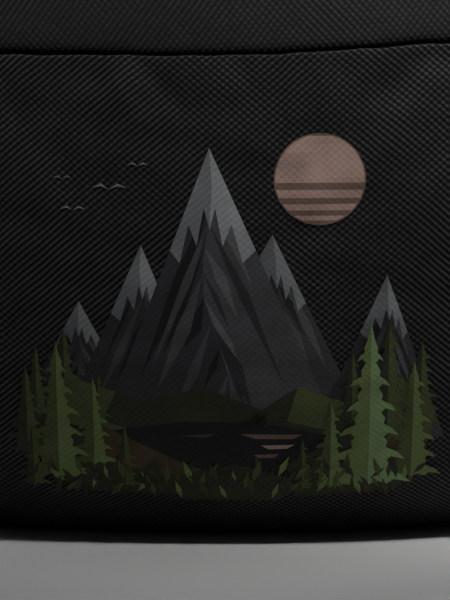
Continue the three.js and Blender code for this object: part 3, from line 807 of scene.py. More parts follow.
class SharedEffects:
    """The effects that several finishes use, each a node group that is built once."""

    def __init__(self) -> None:
        """Builds every group."""
        self.plain_weave = self._plain_weave()
        self.ribs = self._ribs()
        self.patches = self._patches()
        self.grain = self._grain()

    def _new(
        self, name: str, inputs: dict[str, float | None], outputs: Iterable[str]
    ) -> tuple[Recipe, bpy.types.Node, bpy.types.Node]:
        """Opens a group with its sockets.

        Args:
            name: The group's name.
            inputs: The number that each input starts with, or None for a vector.
            outputs: The names of its outputs.

        Returns:
            Its recipe, its input node and its output node.
        """
        tree = bpy.data.node_groups.new(name, "ShaderNodeTree")
        for label, default in inputs.items():
            kind = "NodeSocketVector" if default is None else "NodeSocketFloat"
            socket = tree.interface.new_socket(label, in_out="INPUT", socket_type=kind)
            if default is not None:
                socket.default_value = default
        for label in outputs:
            tree.interface.new_socket(label, in_out="OUTPUT", socket_type="NodeSocketFloat")
        recipe = Recipe(tree)
        return recipe, recipe.add("NodeGroupInput"), recipe.add("NodeGroupOutput")

    def _plain_weave(self) -> bpy.types.NodeTree:
        """Yarns that pass over and under each other one by one.

        Returns:
            The group. Its outputs are the height, how far a float stands up, and a tone for each crossing.
        """
        inputs = {"Cloth": None, "Yarns Across": 125.0, "Yarns Along": 145.0, "Lean": 0.0}
        r, given, result = self._new("plain_weave", inputs, ["Height", "Float", "Fleck"])
        parts = r.fill(r.add("ShaderNodeSeparateXYZ"), Vector=given.outputs["Cloth"])
        a = r.math("MULTIPLY", parts.outputs[0], given.outputs["Yarns Across"])
        b = r.math("MULTIPLY", parts.outputs[1], given.outputs["Yarns Along"])
        cell_a, cell_b = r.math("FLOOR", a), r.math("FLOOR", b)
        odd = r.math("FLOORED_MODULO", r.math("ADD", cell_a, cell_b), 2.0)
        sign = r.math("MULTIPLY_ADD", odd, -2.0, 1.0)
        turn_a = r.math("MULTIPLY", r.math("SUBTRACT", r.math("FRACT", a), 0.5), math.pi)
        turn_b = r.math("MULTIPLY", r.math("SUBTRACT", r.math("FRACT", b), 0.5), math.pi)
        round_ab = r.math("MULTIPLY", r.math("COSINE", turn_a), r.math("COSINE", turn_b))
        slant_ab = r.math("MULTIPLY", r.math("SINE", turn_a), r.math("SINE", turn_b))
        hump = r.math("ADD", round_ab, r.math("MULTIPLY", slant_ab, given.outputs["Lean"]))
        # The weft rises in every other cell, and where it dips the warp shows, lower and flatter.
        weft = r.math("MULTIPLY_ADD", r.math("MULTIPLY", hump, sign), 0.5, 0.5, clamp=True)
        warp = r.math("MULTIPLY_ADD", r.math("COSINE", turn_a), 0.2, 0.12)
        cell = r.fill(r.add("ShaderNodeCombineXYZ"), X=cell_a, Y=cell_b)
        fleck = r.fill(r.add("ShaderNodeTexWhiteNoise", noise_dimensions="3D"), Vector=cell.outputs[0])
        r.fill(result, Height=r.math("MAXIMUM", weft, warp), Float=weft, Fleck=fleck.outputs["Value"])
        return r.tree

    def _ribs(self) -> bpy.types.NodeTree:
        """The close ribs of webbing and zip tape, a twill that turns back on itself.

        Returns:
            The group. Its outputs are the height, and the bands between the turns.
        """
        inputs = {"Cloth": None, "Rows Along": 80.0, "Turns Across": 30.0}
        r, given, result = self._new("webbing_ribs", inputs, ["Height", "Band"])
        parts = r.fill(r.add("ShaderNodeSeparateXYZ"), Vector=given.outputs["Cloth"])
        across = r.math("MULTIPLY", parts.outputs[0], given.outputs["Turns Across"])
        zigzag = r.math("PINGPONG", across, 1.0)
        along = r.math("MULTIPLY", parts.outputs[1], given.outputs["Rows Along"])
        wave = r.math("COSINE", r.math("MULTIPLY", r.math("ADD", along, zigzag), 2 * math.pi))
        groove = r.math("ABSOLUTE", r.math("SUBTRACT", zigzag, 0.5))
        band = r.span(groove, 0.5, 0.4, 0.0, 1.0)
        height = r.math("MULTIPLY", r.math("MULTIPLY_ADD", wave, 0.5, 0.5), band)
        r.fill(result, Height=height, Band=band)
        return r.tree

    def _patches(self) -> bpy.types.NodeTree:
        """Slow changes of tone over a handled surface, with a few specks of lint.

        Returns:
            The group. Its outputs are the tone and the lint's mask.
        """
        r, given, result = self._new("tone_and_lint", {"Size": 30.0, "Speck Size": 900.0}, ["Tone", "Lint"])
        place = r.add("ShaderNodeTexCoord").outputs["Object"]
        slow = r.fill(r.add("ShaderNodeTexNoise"), Vector=place, Scale=given.outputs["Size"], Detail=3.0)
        size = given.outputs["Speck Size"]
        speck = r.fill(r.add("ShaderNodeTexNoise"), Vector=place, Scale=size, Detail=1.0)
        lint = r.span(speck.outputs["Fac"], 0.74, 0.8, 0.0, 1.0)
        r.fill(result, Tone=slow.outputs["Fac"], Lint=lint)
        return r.tree

    def _grain(self) -> bpy.types.NodeTree:
        """The fine spark-eroded grain of moulded parts, with rubbed patches.

        Returns:
            The group. Its outputs are the grain's height and the mask of the rubbed patches.
        """
        r, given, result = self._new("moulded_grain", {"Size": 1500.0}, ["Height", "Rub"])
        place = r.add("ShaderNodeTexCoord").outputs["Object"]
        fine = r.fill(r.add("ShaderNodeTexVoronoi"), Vector=place, Scale=given.outputs["Size"])
        rub = r.fill(r.add("ShaderNodeTexNoise"), Vector=place, Scale=120.0)
        r.fill(result, Height=fine.outputs["Distance"], Rub=rub.outputs["Fac"])
        return r.tree


def fresh_material(name: str) -> tuple[bpy.types.Material, Recipe, bpy.types.Node]:
    """Makes a material with a bare Principled shader.

    Args:
        name: The material's name.

    Returns:
        The material, its recipe and its shader.
    """
    material = bpy.data.materials.new(name)
    material.use_nodes = True
    material.node_tree.nodes.clear()
    recipe = Recipe(material.node_tree)
    shader = recipe.add("ShaderNodeBsdfPrincipled")
    recipe.fill(recipe.add("ShaderNodeOutputMaterial"), Surface=shader.outputs["BSDF"])
    return material, recipe, shader


def raise_surface(r: Recipe, shader: bpy.types.Node, height: Socket, depth_mm: float) -> None:
    """Drives the shader's normal by a height."""
    bump = r.fill(r.add("ShaderNodeBump"), Strength=1.0, Distance=depth_mm * MM, Height=height)
    r.fill(shader, Normal=bump.outputs["Normal"])


def cloth_map(r: Recipe, turn: float = 0.0) -> Socket:
    """The piece's cloth coordinates, turned by an angle in degrees."""
    uv = r.add("ShaderNodeUVMap", uv_map=CLOTH_UV).outputs["UV"]
    return r.fill(r.add("ShaderNodeMapping"), Rotation=(0, 0, math.radians(turn)), Vector=uv).outputs[0]


def linted(r: Recipe, patches: bpy.types.Node, base: Socket, share: float, level: float) -> Socket:
    """A colour with specks of lint, from how much they cover and how pale they are."""
    return r.mix(r.math("MULTIPLY", patches.outputs["Lint"], share), base, grey(level))


@dataclass(frozen=True)
class PackCloth:
    """Plain-woven coated polyester in black, shiny on its floats; its weft floats carry a painted highlight,
    and its warp and the gaps between its yarns carry painted shade.
    """

    name: str
    across_mm: float = 0.79
    along_mm: float = 0.67
    turn: float = 0.0
    yarn: float = 0.048
    warp_shade_share: float = 0.02
    contrast: float = 2.0
    gloss: float = 0.16
    depth_mm: float = 0.2
    straight_at: float = 0.17
    lean_reach: float = 0.5
    lean: float = 0.65
    tint: Place = (1.0, 0.995, 1.005)

    def weave(self, r: Recipe, effects: SharedEffects) -> bpy.types.Node:
        """Places the weave. Its floats lean one way at the left of the bag and the other way at its right, so
        that their painted highlights run in diagonal chains as under a lamp above the bag's middle.

        Args:
            r: The recipe of the material.
            effects: The shared effects.

        Returns:
            The weave's node.
        """
        cloth = cloth_map(r, self.turn)
        across = r.fill(r.add("ShaderNodeSeparateXYZ"), Vector=cloth).outputs[0]
        first, last = self.straight_at - self.lean_reach, self.straight_at + self.lean_reach
        lean = r.span(across, first, last, self.lean, -self.lean)
        drift = r.fill(r.add("ShaderNodeTexNoise"), Scale=5.5, Detail=1.0, Vector=cloth)
        lean = r.math("ADD", lean, r.math("MULTIPLY_ADD", drift.outputs["Fac"], 2.0, -1.0))
        yarns = {"Yarns_Across": CLOTH_MM / self.across_mm, "Yarns_Along": CLOTH_MM / self.along_mm}
        return r.group(effects.plain_weave, Cloth=cloth, Lean=lean, **yarns)

    def mix(self, effects: SharedEffects) -> bpy.types.Material:
        """Builds the material from the shared effects.

        Args:
            effects: The node groups that the finishes share.

        Returns:
            The material.
        """
        material, r, shader = fresh_material(self.name)
        weave = self.weave(r, effects)
        patches = r.group(effects.patches, Size=28.0, Speck_Size=1400.0)
        tone = r.math("MULTIPLY_ADD", weave.outputs["Fleck"], 0.3, 0.85)
        tone = r.math("MULTIPLY", tone, r.span(patches.outputs["Tone"], 0.3, 0.7, 0.85, 1.15))
        # Painted highlight and shade: the weft floats take the yarn's full colour, raised to a power that
        # sharpens the highlight, while the warp and the gaps between yarns get only a small share of it.
        low = self.yarn * self.warp_shade_share
        lit = r.math("POWER", weave.outputs["Float"], self.contrast)
        base = r.mix(lit, (low, low, low * 1.05, 1), r.shade(tone, self.yarn, self.tint))
        rough = r.math("MULTIPLY_ADD", weave.outputs["Float"], -0.35, 0.85)
        r.fill(
            shader,
            Base_Color=linted(r, patches, base, 0.2, 0.05),
            Roughness=r.math("MULTIPLY_ADD", weave.outputs["Fleck"], 0.08, rough),
            Specular_IOR_Level=self.gloss,
            Sheen_Weight=0.02,
            Sheen_Roughness=0.5,
        )
        raise_surface(r, shader, weave.outputs["Height"], self.depth_mm)
        return material


@dataclass(frozen=True)
class ScreenInk:
    """Ink printed on the cloth: flat tones that fill the weave's hollows, painted darker there as shade."""

    name: str
    cloth: PackCloth
    depth_mm: float = 0.05

    def mix(self, effects: SharedEffects) -> bpy.types.Material:
        """Builds the material from the shared effects and the piece's tone attribute.

        Args:
            effects: The node groups that the finishes share.

        Returns:
            The material.
        """
        material, r, shader = fresh_material(self.name)
        tone = r.add("ShaderNodeAttribute", attribute_name="ink")
        weave = self.cloth.weave(r, effects)
        patches = r.group(effects.patches, Size=160.0, Speck_Size=1700.0)
        # Painted shade: the ink is darkened by up to a fifth where the weave lies low, and its tone also
        # wanders slowly at random.
        painted_ink_shade = r.span(weave.outputs["Height"], 0.1, 0.7, 0.8, 1.0)
        ink_shade_and_tone = r.math("MULTIPLY", painted_ink_shade, r.span(patches.outputs["Tone"], 0.3, 0.7, 0.9, 1.08))
        scaled = r.add("ShaderNodeVectorMath", operation="SCALE")
        r.feed(scaled.inputs[0], tone.outputs["Color"])
        r.fill(
            shader,
            Base_Color=r.fill(scaled, Scale=ink_shade_and_tone).outputs[0],
            Roughness=r.math("MULTIPLY_ADD", weave.outputs["Fleck"], 0.08, 0.62),
            Specular_IOR_Level=0.25,
        )
        raise_surface(r, shader, weave.outputs["Height"], self.depth_mm)
        return material


@dataclass(frozen=True)
class RibbedTape:
    """Webbing, binding or zip tape, with its ribs along the cloth coordinates and painted shade in the
    grooves between the ribs.
    """

    name: str
    rows_mm: float = 1.5
    turns_mm: float = 4.0
    thread: float = 0.018
    depth_mm: float = 0.25
    hollow_shade: float = 0.3

    def mix(self, effects: SharedEffects) -> bpy.types.Material:
        """Builds the material from the shared effects.

        Args:
            effects: The node groups that the finishes share.

        Returns:
            The material.
        """
        material, r, shader = fresh_material(self.name)
        rows = {"Rows_Along": CLOTH_MM / self.rows_mm, "Turns_Across": CLOTH_MM / self.turns_mm}
        ribs = r.group(effects.ribs, Cloth=cloth_map(r), **rows)
        patches = r.group(effects.patches, Size=60.0, Speck_Size=1500.0)
        tone = r.span(patches.outputs["Tone"], 0.3, 0.7, 0.8, 1.2)
        # Painted shade: the grooves between the ribs get a fraction of the thread's colour.
        base = r.mix(ribs.outputs["Height"], grey(self.thread * self.hollow_shade), r.shade(tone, self.thread))
        r.fill(
            shader,
            Base_Color=linted(r, patches, base, 0.3, 0.08),
            Roughness=r.math("MULTIPLY_ADD", ribs.outputs["Height"], -0.12, 0.68),
            Specular_IOR_Level=0.35,
            Sheen_Weight=0.08,
        )
        raise_surface(r, shader, ribs.outputs["Height"], self.depth_mm)
        return material


@dataclass(frozen=True)
class SpacerMesh:
    """Knitted spacer mesh with rows of small open cells, painted dark inside as shade."""

    name: str
    cell_mm: float = 2.6
    turn: float = 45.0
    depth_mm: float = 0.7
    hollow_shade: Colour = grey(0.002)
    knit: Colour = (0.024, 0.024, 0.025, 1)

    def mix(self, effects: SharedEffects) -> bpy.types.Material:
        """Builds the material from the shared effects.

        Args:
            effects: The node groups that the finishes share.

        Returns:
            The material.
        """
        material, r, shader = fresh_material(self.name)
        cells = r.add("ShaderNodeTexVoronoi", feature="F1", voronoi_dimensions="2D")
        r.fill(cells, Scale=CLOTH_MM / self.cell_mm, Randomness=0.12, Vector=cloth_map(r, self.turn))
        edge = r.span(cells.outputs["Distance"], 0.22, 0.46, 0.0, 1.0)
        patches = r.group(effects.patches, Size=40.0, Speck_Size=1300.0)
        # Painted shade: the open cells take a near-black colour, and the knit between them the yarn's own
        # colour.
        r.fill(
            shader,
            Base_Color=linted(r, patches, r.mix(edge, self.hollow_shade, self.knit), 0.4, 0.1),
            Roughness=r.math("MULTIPLY_ADD", patches.outputs["Tone"], 0.2, 0.7),
            Specular_IOR_Level=0.25,
            Sheen_Weight=0.12,
        )
        raise_surface(r, shader, edge, self.depth_mm)
        return material


@dataclass(frozen=True)
class MouldedFinish:
    """Moulded plastic, rubber or enamelled metal, with a fine grain and rubbed patches."""

    name: str
    tone: Place
    roughness: float = 0.42
    metallic: float = 0.0
    specular: float = 0.5
    grain_mm: float = 0.008

    def mix(self, effects: SharedEffects) -> bpy.types.Material:
        """Builds the material from the shared effects.

        Args:
            effects: The node groups that the finishes share.

        Returns:
            The material.
        """
        material, r, shader = fresh_material(self.name)
        grain = r.group(effects.grain, Size=4200.0)
        rub = r.span(grain.outputs["Rub"], 0.35, 0.7, 0.0, 1.0)
        worn = tuple(min(1.0, t * 1.5 + 0.004) for t in self.tone)
        r.fill(
            shader,
            Base_Color=r.mix(rub, (*self.tone, 1), (*worn, 1)),
            Roughness=r.math("MULTIPLY_ADD", rub, -0.12, self.roughness + 0.05),
            Metallic=self.metallic,
            Specular_IOR_Level=self.specular,
        )
        raise_surface(r, shader, grain.outputs["Height"], self.grain_mm)
        return material


@dataclass(frozen=True)
class SpunThread:
    """Bonded sewing thread with its twist, the grooves between its plies painted at half brightness as shade.
    """

    name: str
    tone: float = 0.022
    twist: float = 900.0
    depth_mm: float = 0.06

    def mix(self) -> bpy.types.Material:
        """Builds the material.

        Returns:
            The material.
        """
        material, r, shader = fresh_material(self.name)
        twist = r.add("ShaderNodeTexWave", wave_type="BANDS", bands_direction="DIAGONAL")
        place = r.add("ShaderNodeTexCoord").outputs["Object"]
        plies = r.fill(twist, Scale=self.twist, Distortion=2.0, Vector=place).outputs["Fac"]
        # Painted shade: the grooves of the twist get half the thread's colour.
        base = r.mix(plies, grey(self.tone * 0.5), grey(self.tone))
        r.fill(shader, Base_Color=base, Roughness=0.5, Sheen_Weight=0.1)
        raise_surface(r, shader, plies, self.depth_mm)
        return material


class Finishes:
    """Every material of the bag."""

    def __init__(self) -> None:
        """Mixes the materials."""
        effects = SharedEffects()
        front = PackCloth("pocket_cloth")
        self.pocket = front.mix(effects)
        self.ink = ScreenInk("print_ink", front).mix(effects)
        body_yarns = {"across_mm": 0.7, "along_mm": 0.81, "turn": -4.5, "straight_at": 0.3}
        body_tones = {"yarn": 0.031, "warp_shade_share": 0.28, "contrast": 1.0, "depth_mm": 0.15}
        self.body = PackCloth("body_cloth", **body_yarns, **body_tones).mix(effects)
        self.wing = PackCloth("wing_cloth", turn=-12.0).mix(effects)
        self.binding = RibbedTape("binding_tape", rows_mm=1.1, turns_mm=3.0, depth_mm=0.12).mix(effects)
        self.webbing = RibbedTape("belt_webbing", rows_mm=1.25, turns_mm=3.75, depth_mm=0.2).mix(effects)
        self.elastic = RibbedTape("keeper_elastic", rows_mm=1.2, turns_mm=1.6, thread=0.014).mix(effects)
        zip_tape = RibbedTape("zip_tape", rows_mm=0.8, turns_mm=2.0, thread=0.012, depth_mm=0.1)
        self.zip_tape = zip_tape.mix(effects)
        self.mesh = SpacerMesh("spacer_mesh").mix(effects)
        self.thread = SpunThread("sewing_thread").mix()
        coil = MouldedFinish("zip_coil", (0.012, 0.012, 0.013), roughness=0.35, specular=0.55)
        self.coil = coil.mix(effects)
        enamel = MouldedFinish("slider_enamel", (0.02, 0.02, 0.021), roughness=0.3, metallic=0.6)
        self.enamel = enamel.mix(effects)
        self.buckle = MouldedFinish("buckle_plastic", (0.013, 0.013, 0.014), roughness=0.4).mix(effects)
        grip = MouldedFinish("grip_rubber", (0.012, 0.012, 0.012), roughness=0.6, specular=0.3)
        self.grip = grip.mix(effects)


@dataclass
class Maker:
    """What every sub-assembly needs: the frame, the curves, the table and the finishes."""

    nodes: dict[str, Piece]
    curves: BagCurves
    table: CuttingTable
    sewing: Sewing
    finishes: Finishes

    def dress(
        self, obj: Piece, material: bpy.types.Material, slot: str, body: str, *nodes: str
    ) -> Piece:
        """Gives a piece its material and body.

        Args:
            obj: The piece.
            material: Its material.
            slot: Not used.
            body: The body that it rides on.
            *nodes: The nodes that it stands for.

        Returns:
            The same piece.
        """
        obj.data.materials.clear()
        obj.data.materials.append(material)
        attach(obj, body)
        if nodes:
            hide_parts(*nodes)
        LOG.info("%s: %d faces, rides on %s", obj.name, len(obj.data.polygons), body)
        return obj


# Pouch


@dataclass
class Pouch:
    """The main body: a curved cloth pouch with a piped, gusseted top. Sizes are in millimetres."""

    maker: Maker
    columns: int = 260
    piping_radius: float = 1.9
    piping_out: float = 0.5
    piping_drop: float = 0.3
    base_rings: tuple[Place, ...] = ((16, 4.5, 1.2), (11, 8, 3), (6, 11, 5), (2, 13.7, 6.3))
    top_inset: float = 33.0
    top_back_run: float = 22.0
    top_corner_run: float = 8.0
    top_sag: float = 0.5
    rim_drop: float = 1.0
    seam_drop: float = 2.1
    seam_width: float = 1.9
    seam_depth: float = 2.6
    slack: float = 0.009
    flaps: tuple[tuple[str, float, float], ...] = (
        ("zip_flap_outer", 5.0, 8.2),
        ("zip_flap_inner", -5.0, -11.0),
    )
    flap_overrun: float = 0.04
    stitch_inset: float = 1.9
    patch_rounding: float = 0.35

    def _ring(
        self, turns: Array, plan: Place, height: Callable[[Array, Array], Array], swell: float
    ) -> Array:
        """One ring of the shell.

        Args:
            turns: Shares of the way round.
            plan: Its radius at the front, where its back lies, and the radius of its corners.
            height: Its height at each X and Y.
            swell: How much of the cloth's relief it has.

        Returns:
            Its points, in metres.
        """
        c = self.maker.curves
        xy = c.outline(*plan, turns)
        z = height(xy[:, 0], xy[:, 1])
        direction = unit(xy - np.array([0.0, c.axis_y]))
        front = np.clip((c.back_y - 6 - xy[:, 1]) / 12, 0, 1)
        relief = self._relief(xy[:, 0], z) * max(0.0, swell) * front
        return np.column_stack([xy + direction * relief[:, None], z]) * MM

    def _shell(self) -> Piece:
        """The cloth shell, from its base up over the top panel.

        Returns:
            The shell. Its base and its top panel are cut on the straight grain.
        """
        c = self.maker.curves
        turns = np.linspace(0, 1, self.columns + 1)
        rows: list[Array] = []
        level: list[bool] = []

        def ring(radius: float, back: float, corner: float, height: Callable, swell: float = 0.0) -> None:
            """Adds one ring and notes whether it lies flat."""
            rows.append(self._ring(turns, (radius, back, corner), height, swell))
            level.append(swell < 0)

        base = float(c.body_face(np.array(0.0)))
        for inset, back, corner in self.base_rings:
            ring(base - inset, back, corner, lambda x, y: np.zeros_like(x), LEVEL)
        ring(base, c.back_y - 3, 7, lambda x, y: np.zeros_like(x) + 0.05)
        # Rows lie closest where the pocket's seam draws the cloth in.
        above = [np.linspace(90.7, 103, 24), np.linspace(104, 129, 20)]
        bands = [(0.5, 1.2, 2.2, 3.4), np.linspace(5, 90, 56), *above]
        for z in np.concatenate(bands):
            back = c.back_y - 3 * max(0.0, 1 - z / 9) ** 2
            tight = min(1.0, (c.top_z - z) / 10, z / 12)
            face = float(c.body_face(np.array(z)))
            ring(face, back, c.body_corner, lambda x, y, z=z: z * c.top(x, y) / c.top_z, tight)

        def top_ring(share: float, sink: float) -> None:
            """Adds one ring of the top panel, at a share of the way in.

            Args:
                share: How far in it lies.
                sink: How far it lies below the panel.
            """
            radius = c.top_radius - self.top_inset * share
            back = c.back_y - self.top_back_run * share
            corner = c.body_corner - self.top_corner_run * share
            ring(radius, back, corner, lambda x, y: c.top(x, y) - sink, LEVEL)

        top_ring(0.0, self.rim_drop)
        for inset in (0.4, 1.2, 2.4, 4.0, 6.0, 8.5):
            top_ring(inset / self.top_inset, self.top_sag * (min(1.0, inset / 6) - 1))
        for share in (0.36, 0.5, 0.62, 0.74, 0.87, 1.0):
            top_ring(share, 0.0)
        lattice = np.array(rows)
        grain = self.maker.table.grain(lattice, self.columns // 2)
        flat = np.array(level)
        grain[flat] = lattice[flat][..., :2] * CLOTH_PER_METRE
        return self.maker.table.close(self.maker.table.panel("pouch_shell", lattice, grain))

    def _relief(self, x: Array, z: Array) -> Array:
        """Soft waves of the cloth, and the recess over the pocket's edge.

        Args:
            x: Across the bag, in millimetres.
            z: Up the bag.

        Returns:
            How far the cloth stands out, in millimetres.
        """
        c = self.maker.curves
        waves = 0.35 * np.sin(x / 13.0 + 0.6) * np.sin(z / 21.0 + 0.4)
        waves += 0.2 * np.sin(x / 11.3 + z / 17.0) + c.slack(x, z + 40, self.slack)
        puckers = 0.4 * bump_hill(z, 113, 9) * np.sin(x / 24.0 + 1.1)
        # The pocket zip's seam draws the cloth in behind the pocket's edge.
        seam = bump_hill(z, c.lip_z - self.seam_drop + c.lip_rise(x), self.seam_width)
        seam = seam * np.clip((104 - np.abs(x)) / 14, 0, 1)
        return waves * (1 - 0.7 * seam) + puckers - self.seam_depth * seam

    def _piping(self) -> Piece:
        """The round piping sewn into the top seam.

        Returns:
            The piping, as a closed ring.
        """
        c = self.maker.curves
        turns = np.linspace(0, 1, 361)
        xy = c.outline(c.top_radius + self.piping_out, c.back_y + self.piping_out, c.body_corner, turns)
        path = np.column_stack([xy, c.top(xy[:, 0], xy[:, 1]) - self.piping_drop]) * MM
        up = np.tile([0.0, 0.0, 1.0], (len(path), 1))
        out = unit(np.cross(ring_tangents(path), up))
        section = oval(self.piping_radius, self.piping_radius, 14)
        return self.maker.table.tube("top_piping", path, out, up, section, ring=True)

    def _zip_flap(self, name: str, near: float, far: float) -> tuple[Piece, Array, Array]:
        """A folded strip of cloth that holds one edge of the top zip.

        Args:
            name: The strip's name.
            near: Where its folded edge lies from the zip's middle, in millimetres along the radius.
            far: Where it meets the top panel.

        Returns:
            The strip, and a path and directions for its top-stitching.
        """
        c = self.maker.curves
        half = c.zip_half_angle + self.flap_overrun
        angle = np.linspace(-half, half, 170)
        tilt = math.atan(c.top_slope)
        height = c.top_z + c.top_slope * (c.top_radius - c.zip_radius)
        path = c.on_arc(angle, np.full_like(angle, c.zip_radius), height)
        up = np.array([0.0, 0.0, 1.0])
        across = outward(angle) * math.cos(tilt) - up * math.sin(tilt)
        out = outward(angle) * math.sin(tilt) + up * math.cos(tilt)
        step = math.copysign(1.0, far - near)
        folded = [(near, 0.2), (near, 0.9), (near + 0.3 * step, 1.35), (near + 1.0 * step, 1.5)]
        sewn = [((near + far) / 2, 1.35), (far - 0.8 * step, 0.7), (far, 0.1), (far, -0.4), (near, -0.4)]
        strip = self.maker.table.tube(name, path, across, out, folded + sewn)
        seam = path + (across * (near + self.stitch_inset * step) + out * 1.5) * MM
        return strip, seam, out

    def build(self) -> None:
        """Builds and dresses the pouch."""
        m = self.maker
        m.dress(self._shell(), m.finishes.body, "bag_fabric", BAG, "main_body")
        m.dress(self._piping(), m.finishes.body, "bag_fabric", BAG)
        seams = []
        for name, near, far in self.flaps:
            strip, seam, out = self._zip_flap(name, near, far)
            m.dress(strip, m.finishes.body, "bag_fabric", BAG)
            seams.append((seam, out))
        m.dress(m.sewing.rows("zip_flap_stitches", seams), m.finishes.thread, "bag_fabric", BAG)
        for name in ("main_zip_end_left", "main_zip_end_right"):
            patch = m.table.moulded_copy(m.nodes[name], name + "_patch", self.patch_rounding)
            write_cloth(patch.data, read_points(patch.data)[:, :2] * CLOTH_PER_METRE)
            m.dress(patch, m.finishes.body, "bag_fabric", BAG, name)


# Front pocket


@dataclass
class FrontPocket:
    """The front pocket: a bellied panel whose folded top edge covers its zip. Sizes are in millimetres.

    A fold starts at an X and a Z, runs at an angle in degrees for a length, and has a width and a height.
    """

    maker: Maker
    columns: int = 280
    low_z: float = 1.2
    base_round: float = 0.5
    lip_thickness: float = 1.2
    seat: float = 0.35
    channel_z: float = 84.0
    spread: float = math.pi * 0.31
    front_rows: int = 116
    front_power: float = 1.45
    slack: float = 0.032
    folds: tuple[tuple[float, ...], ...] = (
        (-17, 97, -50, 13, 1.9, -0.8),
        (-29, 97, -105, 8, 2.2, -0.6),
        (2, 97, -65, 8, 1.9, -0.7),
        (40, 99, -132, 22, 3.5, -0.95),
        (-23, 96, -60, 12, 2.4, 0.6),
        (-4, 96, -115, 11, 2.4, 0.5),
        (17, 96, -70, 9, 3.0, 0.45),
        (-45, 92, -50, 26, 3.6, -0.9),
        (-18, 16, -80, 8, 4.6, -1.6),
        (9, 14, -50, 12, 3.2, 0.75),
        (-4, 12, -140, 12, 3.2, -0.75),
        (30, 12, -150, 14, 3.2, -0.75),
    )

    def relief(self, x: Array, z: Array) -> Array:
        """Soft folds and dents of the filled pocket.

        Args:
            x: Across the pocket, in millimetres.
            z: Up the pocket.

        Returns:
            How far the cloth stands out, in millimetres.
        """
        waves = 0.4 * np.sin(x / 17.0 + 0.5) * np.sin(z / 16.0 + 1.2)
        waves += 0.22 * np.sin(x / 8.3 - z / 12.0 + 2.0) + self.maker.curves.slack(x, z, self.slack)
        for at_x, at_z, way, length, width, height in self.folds:
            run_x, run_z = math.cos(math.radians(way)), math.sin(math.radians(way))
            along = (x - at_x) * run_x + (z - at_z) * run_z
            across = (z - at_z) * run_x - (x - at_x) * run_z
            fade = np.clip((along + 3) / 4, 0, 1) * np.exp(-np.maximum(0, along / length) ** 2)
            waves += height * bump_hill(across, 0, width) * fade
        edge = np.clip((np.abs(x) - 62) / 25, 0, 1)
        waves += 0.45 * edge * np.sin(z / 4.3 + np.sign(x))
        waves += 0.35 * bump_hill(z, 8, 8) * np.sin(x / 5.2 + 0.8)
        return waves * np.clip((z - self.low_z) / 8, 0, 1)

    def face(self, angle: Array, z: Array) -> Array:
        """Plan radius of the dressed pocket's front.

        Args:
            angle: Angles from the front's middle.
            z: Heights, in millimetres.

        Returns:
            The radius, in millimetres.
        """
        c = self.maker.curves
        radius = c.pocket_face(angle, np.minimum(z, c.lip_z))
        depth = radius - c.body_face(z)
        return radius + self.relief(radius * np.sin(angle), z) * np.clip(depth / 6, 0, 1)

    def _back(self, z: Array) -> Array:
        """Plan radius of the pocket's back, against the body."""
        return self.maker.curves.body_face(z) + self.seat

    def _inner(self, angle: Array, z: Array) -> Array:
        """Plan radius behind the front's cloth."""
        return np.maximum(self.face(angle, z) - self.lip_thickness, self._back(z))

    def _panel(self) -> Piece:
        """The whole pocket as one closed shell, swept from side seam to side seam.

        Returns:
            The shell.
        """
        c = self.maker.curves
        u = np.linspace(-1, 1, self.columns + 1)
        spread = np.sin(u * self.spread) / math.sin(self.spread)
        rows: list[Array] = []

        def row(z: Array | float, radius: Callable[[Array, Array], Array]) -> None:
            """Adds one row at a height, with its radius at each angle and height.

            Args:
                z: Its height.
                radius: Its radius.
            """
            z = np.broadcast_to(np.asarray(z, dtype=float), spread.shape)
            angle = c.pocket_side(z) * spread
            rows.append(c.on_arc(angle, radius(angle, z), z))

        half = self.lip_thickness / 2
        lip = c.lip_z + c.lip_rise(c.pocket_radius * np.sin(c.pocket_half_angle * spread)) - half
        # Rows lie closer where the profile curves under.
        for h in np.linspace(0, 1, self.front_rows) ** self.front_power:
            row(self.low_z + h * (lip - self.low_z), self.face)
        for turn in np.linspace(0, math.pi, 10)[1:]:
            back = half * (1 - math.cos(turn))
            row(
                lip + half * math.sin(turn),
                lambda a, z, b=back: np.maximum(self.face(a, np.minimum(z, lip)) - b, self._back(z)),
            )
        for share in np.linspace(0, 1, 8)[1:]:
            row(lip - share * (lip - self.channel_z - half), self._inner)
        for share in np.linspace(0, 1, 6)[1:]:
            row(self.channel_z, lambda a, z, t=share: (1 - t) * self._inner(a, z) + t * self._back(z))
        for z in np.linspace(self.channel_z - 3, self.low_z, 20):
            row(z, lambda a, z: self._back(z))
        for share in (0.25, 0.5, 0.75, 1.0):
            low = self.low_z - self.base_round * math.sin(share * math.pi)
            row(
                low,
                lambda a, z, t=share: (1 - t) * self._back(z) + t * self.face(a, np.full_like(z, self.low_z)),
            )
        return self.maker.table.close(self.maker.table.panel("pocket_panel", np.array(rows)))

    def _stitches(self) -> Piece:
        """Top-stitching along both side seams.

        Returns:
            The stitches, as one piece.
        """
        c = self.maker.curves
        runs = []
        for side in Side:
            z = np.linspace(8, c.lip_z - 3, 160)
            angle = side.value * (c.pocket_side(z) - 0.012)
            place = c.on_arc(angle, self.face(angle, z) + 0.05, z)
            runs.append((place, unit(outward(angle) + 0.9 * sideways(angle) * side.value)))
        return self.maker.sewing.rows("pocket_seam_stitches", runs)

    def build(self) -> None:
        """Builds and dresses the pocket."""
        m = self.maker
        m.dress(self._panel(), m.finishes.pocket, "bag_fabric", BAG, "front_pocket")
        m.dress(self._stitches(), m.finishes.thread, "bag_fabric", BAG)


# Print


@dataclass
class Facet:
    """One flat tone of the print: its outline in X and Z, in millimetres, its colour and its layer."""

    outline: Sequence[Point]
    tone: Place
    layer: int = 0


